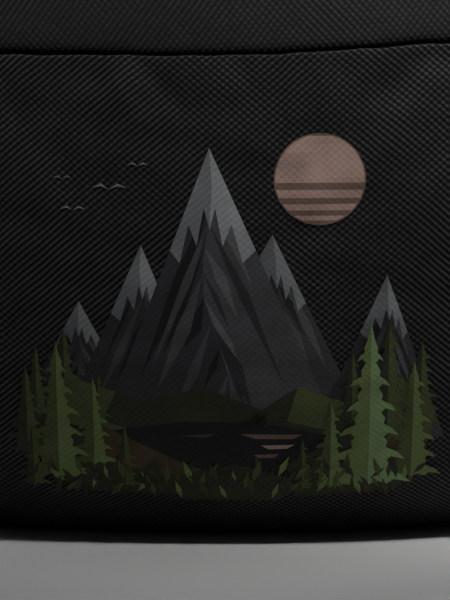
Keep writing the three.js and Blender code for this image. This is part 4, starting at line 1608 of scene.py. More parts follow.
class Tone(Enum):
    """The print's inks, as linear colours."""

    SNOW = (0.3, 0.31, 0.315)
    SNOW_SHADE = (0.17, 0.178, 0.185)
    STONE = (0.098, 0.101, 0.103)
    STONE_MID = (0.052, 0.053, 0.056)
    STONE_DARK = (0.022, 0.0225, 0.025)
    NIGHT = (0.005, 0.005, 0.0065)
    ROSE = (0.4, 0.27, 0.225)
    ROSE_DARK = (0.17, 0.105, 0.085)
    LEAF_PALE = (0.2, 0.3, 0.13)
    LEAF = (0.135, 0.19, 0.06)
    LEAF_MID = (0.062, 0.083, 0.024)
    LEAF_DARK = (0.022, 0.026, 0.01)
    EARTH = (0.055, 0.04, 0.016)

    def times(self, by: float) -> Place:
        """The ink made lighter or darker."""
        red, green, blue = self.value
        return (red * by, green * by, blue * by)


@dataclass
class MountainPrint:
    """A generic landscape of peaks, a low sun and pines, printed on the pocket. Sizes are in millimetres."""

    maker: Maker
    pocket: FrontPocket
    first: Point = (-44.0, 5.0)
    cells: tuple[int, int] = (55, 53)
    cell: float = 1.6
    lift: float = 0.16
    layer: float = 0.012
    film: float = 0.03
    sliver: float = 0.001
    seed: int = 11
    sun: Point = (18.0, 73.5)
    sun_radius: float = 8.5
    sun_rim: float = 0.3
    sun_bars: tuple[Point, ...] = ((-0.93, -0.82), (-0.7, -0.56), (-0.42, -0.24), (-0.08, 0.97))
    birds: tuple[Place, ...] = ((-22, 71.5, 3.4), (-29, 67.5, 2.5), (-16.5, 76, 2.1), (-31, 73.5, 1.8))
    snow_line: float = 0.34
    strokes: int = 9

    def __post_init__(self) -> None:
        """Seeds the brush strokes."""
        self.chance = np.random.default_rng(self.seed)

    def _disc(self, radius: float, low: float = -1.0, high: float = 1.0) -> list[Point]:
        """The sun's outline between two heights.

        Args:
            radius: Its radius.
            low: The lower height, as a share of the radius.
            high: The upper height.

        Returns:
            The outline, in order.
        """
        x, z = self.sun
        side = np.linspace(math.asin(low), math.asin(high), 22)
        right = [(x + radius * math.cos(a), z + radius * math.sin(a)) for a in side]
        left = [(2 * x - u, v) for u, v in reversed(right)]
        return right + left[(high > 0.99) : len(left) - (low < -0.99)]

    def _sun(self) -> list[Facet]:
        """A low sun, crossed by bars of haze that widen downwards."""
        rim = Facet(self._disc(self.sun_radius + self.sun_rim), Tone.ROSE_DARK.value)
        return [rim, *(Facet(self._disc(self.sun_radius, *bar), Tone.ROSE.value, 1) for bar in self.sun_bars)]

    def _birds(self) -> list[Facet]:
        """Small birds as pairs of wings.

        Returns:
            Their facets.
        """
        facets = []
        for x, z, size in self.birds:
            for way in (-1, 1):
                wing = [(0, 0), (0.45, 0.2), (1, 0.1), (0.45, 0.36)]
                patch = [(x + way * u * size, z + v * size) for u, v in wing]
                facets.append(Facet(patch, Tone.SNOW_SHADE.value))
        return facets

    def _peak(self, top: Point, foot: float, left: float, right: float, lit: float) -> list[Facet]:
        """One peak: a shaded and a lit face, broken by strokes, with snow down from its top.

        Args:
            top: The summit.
            foot: Height of its foot.
            left: How far the foot reaches to the left.
            right: How far it reaches to the right.
            lit: How bright its lit face is, from 0 to 1.

        Returns:
            Its facets.
        """
        x, z = top
        high = z - foot
        steps = np.linspace(0, 1, 9)
        wander = np.concatenate([[0], self.chance.uniform(-0.06, 0.11, 7).cumsum() * 0.55, [0.1]])
        ridge = [(x + high * w * t**0.5, z - high * t) for t, w in zip(steps, wander)]
        ridge_x = [point[0] for point in ridge]
        facets = [
            Facet([*ridge, (x - left, foot)], Tone.STONE_DARK.times(0.7 + 0.5 * lit)),
            Facet([*ridge, (x + right, foot)], Tone.STONE_MID.times(0.55 + 0.6 * lit)),
        ]
        dim_side = (-1, left, (Tone.NIGHT, Tone.STONE_MID))
        lit_side = (1, right, (Tone.STONE, Tone.STONE_DARK))
        for way, reach, tones in (dim_side, lit_side):
            slope = np.array([way * reach, -high]) / math.hypot(reach, high)
            across = np.array([-slope[1], slope[0]])
            for k, t in enumerate(np.linspace(0.16, 0.84, self.strokes)):
                start = np.array([np.interp(t, steps, ridge_x), z - high * t])
                length = high * (1 - t) * self.chance.uniform(0.3, 0.85)
                wide = high * self.chance.uniform(0.012, 0.034)
                bend = start + slope * length * self.chance.uniform(0.35, 0.6)
                blade = [start, bend + across * wide, start + slope * length, bend - across * wide * 0.5]
                ink = tones[k % 2].times(0.55 + 0.55 * lit)
                facets.append(Facet([tuple(p) for p in blade], ink, 1 + k % 2))
        for way, reach, tone in ((-1, left, Tone.SNOW_SHADE), (1, right, Tone.SNOW)):
            edge = [(x + way * reach * t, z - high * t) for t in (0.16, self.snow_line)]
            teeth = []
            for k, t in enumerate(np.linspace(self.snow_line, 0.2, 6)):
                drop = 0.07 if k % 2 else -0.03 * (k > 0)
                middle = np.interp(t, steps, ridge_x)
                teeth.append((middle + (x + way * reach * t - middle) * (1 - k / 5), z - high * (t + drop)))
            facets.append(Facet([(x, z), *edge, *teeth, ridge[1]], tone.times(0.45 + 0.5 * lit), 3))
        return facets

    def _peaks(self) -> list[list[Facet]]:
        """Five peaks, the far ones first.

        Returns:
            The facets of each peak.
        """
        return [
            self._peak((-28, 50), 24, 14, 14, 0.35),
            self._peak((9, 63), 24, 22, 19, 0.45),
            self._peak((31, 55), 22, 15, 12, 0.5),
            self._peak((-16, 61), 22, 17, 16, 0.6),
            self._peak((-3, 79.5), 22, 22, 26, 1.0),
        ]

    def _blades(self, first: float, last: float, foot: float, size: float, count: int) -> list[Facet]:
        """A row of pointed grass and shrub leaves in mixed greens.

        Args:
            first: Where the row begins.
            last: Where it ends.
            foot: Height of its foot.
            size: Length of the leaves.
            count: How many there are.

        Returns:
            The leaves, on three layers.
        """
        facets = []
        inks = (Tone.LEAF_DARK, Tone.LEAF_MID, Tone.EARTH, Tone.LEAF_DARK, Tone.LEAF)
        for k, x in enumerate(np.linspace(first, last, count)):
            lean = self.chance.uniform(-0.9, 0.9)
            long = size * self.chance.uniform(0.6, 1.1)
            root = np.array([x, foot + self.chance.uniform(-1.2, 1.2)])
            way = np.array([math.sin(lean), math.cos(lean)])
            side = np.array([way[1], -way[0]]) * long * 0.14
            waist = root + way * long * 0.45
            leaf = [root, waist - side, root + way * long, waist + side]
            facets.append(Facet([tuple(p) for p in leaf], inks[k % len(inks)].value, k % 3))
        return facets

    def _hills(self) -> list[Facet]:
        """Rolling foothills, darker towards the front, with a dark lake between them.

        Returns:
            Their facets, on six layers.
        """
        t = Tone
        rows = [
            ([(-40, 27), (-30, 35), (-16, 30), (-4, 33), (8, 28), (8, 20), (-38, 20)], t.LEAF_DARK),
            ([(2, 25), (14, 33), (24, 29.5), (34, 35), (41, 28), (39, 18), (4, 18)], t.LEAF_DARK),
            ([(-30, 35), (-21, 32), (-24, 26), (-12, 22), (-28, 22)], t.LEAF_MID),
            ([(34, 35), (41, 28), (40, 22), (31, 24)], t.LEAF_MID),
            ([(14, 33), (24, 29.5), (20, 24), (12, 26)], t.LEAF_MID),
            ([(-22, 24), (-8, 26), (8, 25.5), (20, 23), (14, 13), (-12, 12)], t.NIGHT),
            ([(3, 23.4), (15, 23.2), (13, 22.3), (6, 22.4)], t.ROSE_DARK),
            ([(7, 21), (13.5, 21.1), (12, 20.3), (8.5, 20.2)], t.ROSE),
            ([(5.5, 19), (10.5, 19.2), (9.6, 18.4), (6.6, 18.3)], t.ROSE_DARK),
            ([(-9, 23), (-2, 23.4), (-4, 22.6)], t.STONE_MID),
            ([(-39, 22), (-24, 25), (-12, 19), (-3, 15), (-6, 10), (-30, 11)], t.LEAF_DARK),
            ([(-24, 25), (-12, 19), (-3, 15), (-14, 14.5), (-26, 19)], t.EARTH),
            ([(12, 17), (24, 23), (40, 22), (34, 11), (14, 9.5)], t.LEAF_DARK),
            ([(24, 23), (40, 22), (36, 15), (27, 17)], t.EARTH),
            ([(-12, 14), (2, 17), (16, 13), (10, 9), (-8, 9)], t.LEAF_DARK),
        ]
        depths = (0, 0, 1, 1, 1, 2, 3, 3, 3, 3, 3, 4, 3, 4, 5)
        return [Facet(outline, tone.value, depth) for (outline, tone), depth in zip(rows, depths)]

    def _pine(self, x: float, foot: float, height: float, lean: int, lit: Tone, dim: Tone) -> list[Facet]:
        """One pine of six tiers, its lit half to the right.

        Args:
            x: Where it stands.
            foot: Height of its foot.
            height: Its own height.
            lean: Changes the tiers a little from tree to tree.
            lit: Ink of the lit half.
            dim: Ink of the shaded half.

        Returns:
            Its facets, on seven layers.
        """
        low, thick = foot - 0.07 * height, 0.018 * height
        trunk = [(x - thick, low), (x - thick, foot + 2), (x + thick, foot + 2), (x + thick, low)]
        facets = [Facet(trunk, Tone.EARTH.value)]
        for tier in range(6):
            low = foot + height * tier * 0.155
            high = min(foot + height, low + height * (0.36 - 0.025 * tier))
            reach = height * (0.25 - 0.034 * tier)
            rise = high - low
            fringe = [(0, 1), (0.28, 0.55), (0.5, 0.36), (0.46, 0.24), (0.8, 0.14), (1, 0), (0.62, 0.06)]
            fringe += [(0.45, -0.03), (0.2, 0.04)]
            edge = [(u, v * rise) for u, v in fringe] + [(0, -0.02 * height)]
            for way, tone in ((-1, dim), (1, lit)):
                sway = 0.3 * math.sin(tier * 2.1 + lean + way)
                outline = [(x + way * (u * reach + (sway if u > 0.7 else 0)), low + v) for u, v in edge]
                facets.append(Facet(outline, tone.value, 1 + tier))
        return facets

    def _pines(self) -> list[list[Facet]]:
        """Stands of pines at both sides, with leaves at their feet.

        Returns:
            The facets of each row, from the back to the front.
        """
        t = Tone
        pairs = ((t.LEAF_MID, t.LEAF_DARK), (t.LEAF, t.LEAF_MID), (t.LEAF_PALE, t.LEAF))
        rows = [
            [(-36.5, 28, 13, 0), (-31, 25, 20, 0), (24.5, 26, 14, 0), (38, 25, 17, 0), (-24.5, 25, 11, 0)],
            [(-38.5, 19, 18, 0), (-25.5, 17, 18, 1), (31.5, 22, 24, 0), (15, 11.5, 11, 0)],
            [(-32.5, 14, 28, 1), (-19.5, 12, 13, 0), (36.5, 14, 24, 1), (20.5, 12, 18, 1)],
            [(28, 12.5, 33, 2), (-37.5, 12, 13, 0)],
        ]
        groups = []
        for row in rows:
            pines = (self._pine(x, z, h, k, *pairs[p]) for k, (x, z, h, p) in enumerate(row))
            groups.append([facet for pine in pines for facet in pine])
        groups.append(self._blades(-38, 37, 13.5, 5.0, 46))
        groups.append(self._blades(-33, 32, 10.5, 4.2, 38))
        return groups

    def _artwork(self) -> list[Facet]:
        """Draws the whole print.

        Returns:
            Every facet, with its layer counted from the cloth up.
        """
        order = 0
        facets: list[Facet] = []
        for group in (self._sun(), self._birds(), *self._peaks(), self._hills(), *self._pines()):
            for facet in group:
                facet.layer += order
            order = max(facet.layer for facet in group) + 1
            facets += group
        return facets

    def build(self) -> None:
        """Lays the facets flat, cuts them along a grid, and bends them onto the pocket."""
        points: list[Place] = []
        faces: list[tuple[int, ...]] = []
        tones: list[Colour] = []
        for facet in self._artwork():
            first = len(points)
            points += [(x, facet.layer, z) for x, z in facet.outline]
            faces.append(tuple(range(first, len(points))))
            tones += [(*facet.tone, 1.0)] * len(facet.outline)
        mesh = bpy.data.meshes.new("pocket_print")
        mesh.from_pydata(points, [], faces)
        ink = mesh.attributes.new("ink", "FLOAT_COLOR", "POINT")
        ink.data.foreach_set("color", np.array(tones).ravel())
        obj = place_mesh(mesh)
        self._cut(obj)
        self._bend(obj)
        m = self.maker
        m.table.thicken(obj, self.film)
        m.dress(obj, m.finishes.ink, "bag_fabric", BAG)

    def _cut(self, obj: Piece) -> None:
        """Cuts every facet along the lines and diagonals of a grid, so that all layers bend alike.

        Args:
            obj: The print, still flat.
        """
        x0, z0 = self.first
        wide, high = self.cells
        slant = (math.sqrt(0.5), 0, -math.sqrt(0.5))
        cuts = [((x0 + k * self.cell, 0, z0), (1, 0, 0)) for k in range(wide)]
        cuts += [((x0, 0, z0 + k * self.cell), (0, 0, 1)) for k in range(high)]
        cuts += [((x0 + k * self.cell, 0, z0), slant) for k in range(4 - high, wide - 3)]
        with self.maker.table.editing(obj):
            bpy.ops.mesh.quads_convert_to_tris(ngon_method="CLIP")
            for place, normal in cuts:
                bpy.ops.mesh.select_all(action="SELECT")
                bpy.ops.mesh.bisect(plane_co=place, plane_no=normal)
            bpy.ops.mesh.select_all(action="SELECT")
            bpy.ops.mesh.dissolve_degenerate(threshold=self.sliver)
            bpy.ops.mesh.select_all(action="SELECT")
            bpy.ops.mesh.delete_loose()

    def _sheet(self, x: Array, z: Array) -> Array:
        """Places, outward directions and cloth coordinates on a sheet of flat triangles over the pocket.

        Args:
            x: Across the print, in millimetres.
            z: Up the print.

        Returns:
            A row of eight numbers for each point. They are straight between the corners of each half cell, so
            that layers cut along the same lines lie parallel.
        """
        c = self.maker.curves
        wide, high = self.cells
        line_x = self.first[0] + self.cell * np.arange(wide + 1)
        line_z = self.first[1] + self.cell * np.arange(high + 1)
        node_x, node_z = np.meshgrid(line_x, line_z, indexing="ij")
        angle = np.arcsin(node_x / c.pocket_radius)
        for _ in range(4):
            radius = self.pocket.face(angle, node_z)
            angle = np.arcsin(node_x / radius)
        heights = np.linspace(0, c.lip_z, 600)
        lengths = run_lengths(np.column_stack([heights, c.pocket_face(np.zeros_like(heights), heights)]))
        cloth = np.stack([radius * angle, np.interp(node_z, heights, lengths)], axis=-1) / CLOTH_MM
        nodes = np.concatenate([c.on_arc(angle, radius, node_z), outward(angle), cloth], axis=-1)
        u, v = (x - self.first[0]) / self.cell, (z - self.first[1]) / self.cell
        i = np.clip(np.floor(u).astype(int), 0, wide - 1)
        j = np.clip(np.floor(v).astype(int), 0, high - 1)
        u, v = (u - i)[:, None], (v - j)[:, None]
        a, b, d, e = nodes[i, j], nodes[i + 1, j], nodes[i + 1, j + 1], nodes[i, j + 1]
        return np.where(u >= v, a + u * (b - a) + v * (d - b), a + v * (e - a) + u * (d - e))

    def _bend(self, obj: Piece) -> None:
        """Moves the flat facets onto the pocket's front and gives them the cloth's coordinates.

        Args:
            obj: The print, still flat.
        """
        mesh = obj.data
        x, layer, z = read_points(mesh).T
        sheet = self._sheet(x, z)
        lift = (self.lift + layer * self.layer) * MM
        write_points(mesh, sheet[:, :3] + sheet[:, 3:6] * lift[:, None])
        write_cloth(mesh, sheet[:, 6:])
        for face in [face for face in mesh.polygons if face.normal.y > 0]:
            face.flip()
        mesh.update()


# Zips


@dataclass
class CoilZip:
    """A closed coil zip on two tapes. Sizes are in millimetres.

    The across and out directions are given by their level outward part and their upright part.
    """

    maker: Maker
    name: str
    node: str
    half_angle: float
    radius: float
    z: float
    across: Point
    out: Point
    pitch: float = 1.25
    tooth: Place = (2.7, 0.78, 1.9)
    tooth_slant: float = 0.16
    tooth_across: float = 1.0
    tooth_out: float = 1.7
    seam_across: float = 2.75
    seam_out: float = 0.82

    def _frames(self, angle: Array) -> tuple[Array, Array, Array]:
        """Points of the zip's middle at angles from the front, with their directions.

        Args:
            angle: The angles.

        Returns:
            Points in metres, across directions and out directions.
        """
        path = self.maker.curves.on_arc(angle, np.full_like(angle, self.radius), self.z)
        level, up = outward(angle), np.array([0.0, 0.0, 1.0])
        return path, level * self.across[0] + up * self.across[1], level * self.out[0] + up * self.out[1]

    def build(self) -> None:
        """Builds the tape, the coil and the two seams beside it."""
        m = self.maker
        path, across, out = self._frames(np.linspace(-self.half_angle, self.half_angle, 200))
        right = [(5, 0.05), (5, 0.7), (3.1, 0.78), (0.25, 0.8)]
        section = [(-5, 0.05), *right, (0, 0.6), (-0.25, 0.8), (-3.1, 0.78), (-5, 0.7)]
        tape = m.table.tube(self.name + "_tape", path, across, out, section)
        m.dress(tape, m.finishes.zip_tape, "zip", BAG, self.node)
        turn = self.pitch / self.radius
        count = int(self.half_angle * 2 / turn) - 2
        places, alongs, outs = [], [], []
        for side in (-1, 1):
            # The right-hand teeth stand half a pitch further on.
            at = -count * turn / 2 + (np.arange(count) + 0.25 * (1 + side)) * turn
            spot, cross, normal = self._frames(at)
            places.append(spot + (cross * side * self.tooth_across + normal * self.tooth_out) * MM)
            alongs.append(unit(cross + sideways(at) * self.tooth_slant * side))
            outs.append(normal)
        parts = (np.concatenate(part) for part in (places, alongs, outs))
        coil = m.table.copies(self.name + "_coil", m.table.bead(*self.tooth), *parts)
        m.dress(coil, m.finishes.coil, "zip", BAG)
        lift = out * self.seam_out
        seams = [(path + (across * side * self.seam_across + lift) * MM, out) for side in (-1, 1)]
        m.dress(m.sewing.rows(self.name + "_seams", seams), m.finishes.thread, "zip", BAG)


@dataclass
class ZipFittings:
    """The sliders and pulls."""

    maker: Maker
    slider_rounding: float = 0.3
    pull_rounding: float = 0.25
    grip_rounding: float = 0.4

    def build(self) -> None:
        """Rounds each fitting's edges and gives it its finish."""
        m = self.maker
        enamel, grip = m.finishes.enamel, m.finishes.grip
        plan = [
            ("main_slider", self.slider_rounding, enamel, "zip_hardware"),
            ("main_pull", self.pull_rounding, enamel, "zip_hardware"),
            ("pocket_slider", self.slider_rounding, enamel, "zip_hardware"),
            ("pocket_pull", self.grip_rounding, grip, "pull_grip"),
        ]
        for node, rounding, finish, slot in plan:
            piece = m.table.moulded_copy(m.nodes[node], node + "_rounded", rounding)
            m.dress(piece, finish, slot, node, node)


# Back and belt


@dataclass
class BackPad:
    """The padded back, in spacer mesh with sewn channels and a bound edge. Sizes are in millimetres."""

    maker: Maker
    rows: int = 49
    columns: int = 61
    thickness: float = 6.0
    edge_thickness: float = 1.6
    seat: float = 0.3
    low_z: float = 5.0
    high_z: float = 126.5
    side_inset: float = 3.0
    crown_power: int = 9
    settle: float = 0.9
    channels: Place = (42.0, 68.0, 94.0)
    channel_depth: float = 2.6
    channel_width: float = 2.6
    channel_held: float = 1.35
    stitch_drop: float = 3.2
    edge_held: float = 0.97
    pressure: float = 45.0
    most_filling: float = 1.6
    fill: float = 0.7
    binding: Point = (1.9, 1.3)
    binding_lift: float = 1.0

    def _half(self, z: Array) -> Array:
        """Half the pad's width at each height.

        Args:
            z: Heights, in millimetres.

        Returns:
            Half widths.
        """
        c = self.maker.curves
        inner = c.body_face(np.minimum(z, 126)) - c.body_corner
        return np.sqrt(inner**2 - (c.axis_y - c.back_y + c.body_corner) ** 2) - self.side_inset

    def _height(self, v: Array) -> Array:
        """Height at shares of the pad's own height, from -1 to 1."""
        return self.low_z + (v + 1) / 2 * (self.high_z - self.low_z)

    def _place(self, u: Array, z: Array, depth: Array) -> Array:
        """Points of the pad.

        Args:
            u: Shares of half its width, from -1 to 1.
            z: Heights, in millimetres.
            depth: Distances from the body.

        Returns:
            The points, in metres.
        """
        c = self.maker.curves
        x = self._half(z) * u
        lift = z / c.top_z * (c.top(x, np.full_like(x, c.back_y)) - c.top_z)
        return np.stack([x, c.back_y + self.seat + depth, z + lift], axis=-1) * MM

    def build(self) -> None:
        """Builds and dresses the pad, its stitches and its binding."""
        m = self.maker
        u, v = np.meshgrid(np.linspace(-1, 1, self.columns), np.linspace(-1, 1, self.rows))
        z = self._height(v)
        crown = (1 - np.abs(u) ** self.crown_power) * (1 - np.abs(v) ** self.crown_power)
        depth = self.edge_thickness + (self.thickness - self.edge_thickness) * np.sqrt(np.maximum(0, crown))
        inside = np.clip((0.9 - np.abs(u)) / 0.06, 0, 1)
        held = np.maximum(np.abs(u), np.abs(v)) > self.edge_held
        for channel in self.channels:
            depth -= self.channel_depth * bump_hill(z, channel, self.channel_width) * inside
            held |= (np.abs(z - channel) < self.channel_held) & (inside > 0.5)
        depth -= self.settle * inside
        held = np.concatenate([held, np.ones_like(held), held[:, :1]], axis=1).astype(float)
        outer = self._place(u, z, depth)
        inner = self._place(u[:, ::-1], z, np.zeros_like(depth))
        lattice = np.concatenate([outer, inner, outer[:, :1]], axis=1)
        pad = m.table.panel("back_pad_mesh", lattice, m.table.grain(lattice, self.columns // 2), held)
        m.table.close(pad)
        m.table.inflate(pad, self.pressure, self.most_filling)
        m.dress(pad, m.finishes.mesh, "spacer_mesh", BAG, "back_pad")
        run_u = np.linspace(-0.88, 0.88, self.columns)
        run_depth = np.full_like(run_u, self.thickness - self.stitch_drop)
        out = np.tile([0.0, 1.0, 0.0], (self.columns, 1))
        lines = (self._place(run_u, np.full_like(run_u, channel), run_depth) for channel in self.channels)
        runs = [(line, out) for line in lines]
        m.dress(m.sewing.rows("back_pad_channels", runs), m.finishes.thread, "spacer_mesh", BAG)
        self._bind()

    def _bind(self) -> None:
        """Sews a bound edge round the pad."""
        m = self.maker
        t = np.linspace(0, 1, 91)
        one = np.ones_like(t)
        sides = [(2 * t - 1, -one), (one, 2 * t - 1), (1 - 2 * t, one), (-one, 1 - 2 * t)]
        edge = np.concatenate([np.column_stack(side)[(k > 0) :] for k, side in enumerate(sides)])
        path = self._place(edge[:, 0], self._height(edge[:, 1]), np.full(len(edge), self.binding_lift))
        out = np.tile([0.0, 1.0, 0.0], (len(path), 1))
        across = unit(np.cross(ring_tangents(path), out))
        binding = m.table.tube("back_pad_binding", path, across, out, oval(*self.binding, 12), ring=True)
        m.dress(binding, m.finishes.binding, "bag_fabric", BAG)


@dataclass
class BeltCourse:
    """The belt's way round from the bag's corner to the buckle, in millimetres."""

    half_span: float = 172.0
    loop_y: float = 78.0
    depth: float = 100.0
    high_z: float = 69.5
    fall: float = 0.4
    fall_start: float = 20.0
    fall_blend: float = 70.0
    root: Point = (100.0, -2.0)
    root_way: Point = (134.0, 20.0)
    side_way_y: float = 40.0
    steps: int = 900
    look: float = 1.5

    def __post_init__(self) -> None:
        """Measures the plan curve: a Bezier curve along the wing, and then a quarter of an ellipse."""
        t = np.linspace(0, 1, self.steps)[:, None]
        side_way = (self.half_span - 2, self.side_way_y)
        ways = (self.root, self.root_way, side_way, (self.half_span, self.loop_y))
        p = [np.array(way) for way in ways]
        wing = (1 - t) ** 3 * p[0] + 3 * (1 - t) ** 2 * t * p[1] + 3 * (1 - t) * t**2 * p[2] + t**3 * p[3]
        a = np.linspace(0, math.pi / 2, self.steps)[1:, None]
        loop = np.hstack([self.half_span * np.cos(a), self.loop_y + self.depth * np.sin(a)])
        self.plan = np.vstack([wing, loop])
        self.lengths = run_lengths(self.plan)
        self.total = float(self.lengths[-1])

    def _share(self, y: Array) -> Array:
        """How far the fall has set in."""
        return np.clip((y - self.fall_start) / self.fall_blend, 0, 1)

    def height(self, y: Array) -> Array:
        """Height of the belt's middle.

        Args:
            y: Y of the belt's points, in millimetres.

        Returns:
            Heights.
        """
        s = self._share(y)
        blended = self.fall * self.fall_blend * (s**3 - s**4 / 2)
        return self.high_z - blended - self.fall * np.maximum(0, y - self.fall_start - self.fall_blend)

    def frames(self, distance: Array, side: Side) -> tuple[Array, Array, Array]:
        """Points and directions of the belt's middle.

        Args:
            distance: Distances along the belt from the bag's corner, in millimetres.
            side: The side of the belt.

        Returns:
            Points in metres, width directions and outward directions.
        """
        x, y = along_path(distance, self.lengths, self.plan).T
        ahead = np.clip(distance + self.look, 0, self.total)
        behind = np.clip(distance - self.look, 0, self.total)
        step = along_path(ahead, self.lengths, self.plan) - along_path(behind, self.lengths, self.plan)
        step[distance >= self.total - 1e-6] = (-1.0, 0.0)
        slope = self.fall * ease(self._share(y))
        along = unit(np.column_stack([side.value * step[:, 0], step[:, 1], -slope * step[:, 1]]))
        fall = np.arctan(slope)
        width = np.column_stack([np.zeros_like(fall), np.sin(fall), np.cos(fall)])
        out = unit(np.cross(along, width) * side.value)
        return np.column_stack([side.value * x, y, self.height(y)]) * MM, width, out

    def distance_at(self, x: float) -> float:
        """Distance at which the rear half of the loop passes an X."""
        rear = self.plan[:, 1] >= self.loop_y
        return float(np.interp(-x, -self.plan[rear, 0], self.lengths[rear]))


@dataclass
class HipWing:
    """A padded side wing that tapers to the webbing, sewn to the bag's corner. Sizes are in millimetres."""

    maker: Maker
    course: BeltCourse
    side: Side
    rows: int = 41
    columns: int = 34
    start: float = 4.0
    end: float = 92.0
    root_half: float = 45.0
    tip_half: float = 17.0
    root_thick: float = 3.6
    tip_thinner: float = 1.5
    taper_from: float = 0.12
    edge_share: float = 0.22
    quilt_at: float = 0.62
    quilt_depth: float = 0.35
    ripple: float = 0.25
    ripple_length: float = 6.5
    pressure: float = 45.0
    most_filling: float = 1.0
    fill: float = 0.6
    binding: Point = (1.2, 1.7)

    def _sizes(self, distance: Array) -> tuple[Array, Array]:
        """Half the height and half the thickness along the wing.

        Args:
            distance: Distances along the belt.

        Returns:
            Half heights and half thicknesses, in millimetres.
        """
        share = distance / self.end
        taper = ease(np.clip((share - self.taper_from) / (1 - self.taper_from), 0, 1))
        half = self.root_half + (self.tip_half - self.root_half) * taper
        return half, self.root_thick - self.tip_thinner * share

    def _rippled(self, distance: Array, w: Array) -> Array:
        """How far the cloth ripples out at distances along the wing and shares of its half height."""
        return self.ripple * np.sin(distance / self.ripple_length + w * 2.0) * (1 - np.abs(w) ** 4)

    def build(self) -> None:
        """Builds and dresses the wing, its binding and its stitches."""
        m = self.maker
        word = self.side.word
        distance = np.linspace(self.start, self.end, self.rows)
        points, width, out = self.course.frames(distance, self.side)
        half, thick = self._sizes(distance)
        w = np.concatenate([np.linspace(-1, 1, self.columns), np.linspace(1, -1, self.columns)])
        face = np.repeat([1.0, -1.0], self.columns)
        crown = self.edge_share + (1 - self.edge_share) * np.sqrt(np.maximum(0, 1 - np.abs(w) ** 6))
        quilt = 1 - self.quilt_depth * bump_hill(np.abs(w), self.quilt_at, 0.06)
        sewn = (np.abs(w) > 0.97) | (np.abs(np.abs(w) - self.quilt_at) < 0.032)
        held = np.tile(np.append(sewn, sewn[0]).astype(float), (self.rows, 1))
        held[[0, -1]] = 1.0
        depth = thick[:, None] * (crown * quilt * face)[None, :] + self._rippled(distance[:, None], w)
        raised = width[:, None, :] * (half[:, None] * w[None, :])[..., None]
        lattice = points[:, None, :] + (raised + out[:, None, :] * depth[..., None]) * MM
        lattice = np.concatenate([lattice, lattice[:, :1]], axis=1)
        wing = m.table.panel(f"wing_{word}_padded", lattice, m.table.grain(lattice, self.columns // 2), held)
        m.table.close(wing)
        m.table.inflate(wing, self.pressure, self.most_filling)
        m.dress(wing, m.finishes.wing, "bag_fabric", BAG, f"wing_{word}")
        runs = []
        for sign, edge in ((-1, "lower"), (1, "upper")):
            lift = thick * (1 - self.quilt_depth) + self._rippled(distance, np.array(self.quilt_at * sign))
            seam = points + (width * (half * self.quilt_at * sign)[:, None] + out * lift[:, None]) * MM
            runs.append((seam, out))
            path = points + width * (half * sign)[:, None] * MM
            binding = m.table.tube(f"wing_{word}_binding_{edge}", path, width, out, oval(*self.binding, 12))
            m.dress(binding, m.finishes.binding, "bag_fabric", BAG)
        m.dress(m.sewing.rows(f"wing_{word}_stitches", runs), m.finishes.thread, "bag_fabric", BAG)


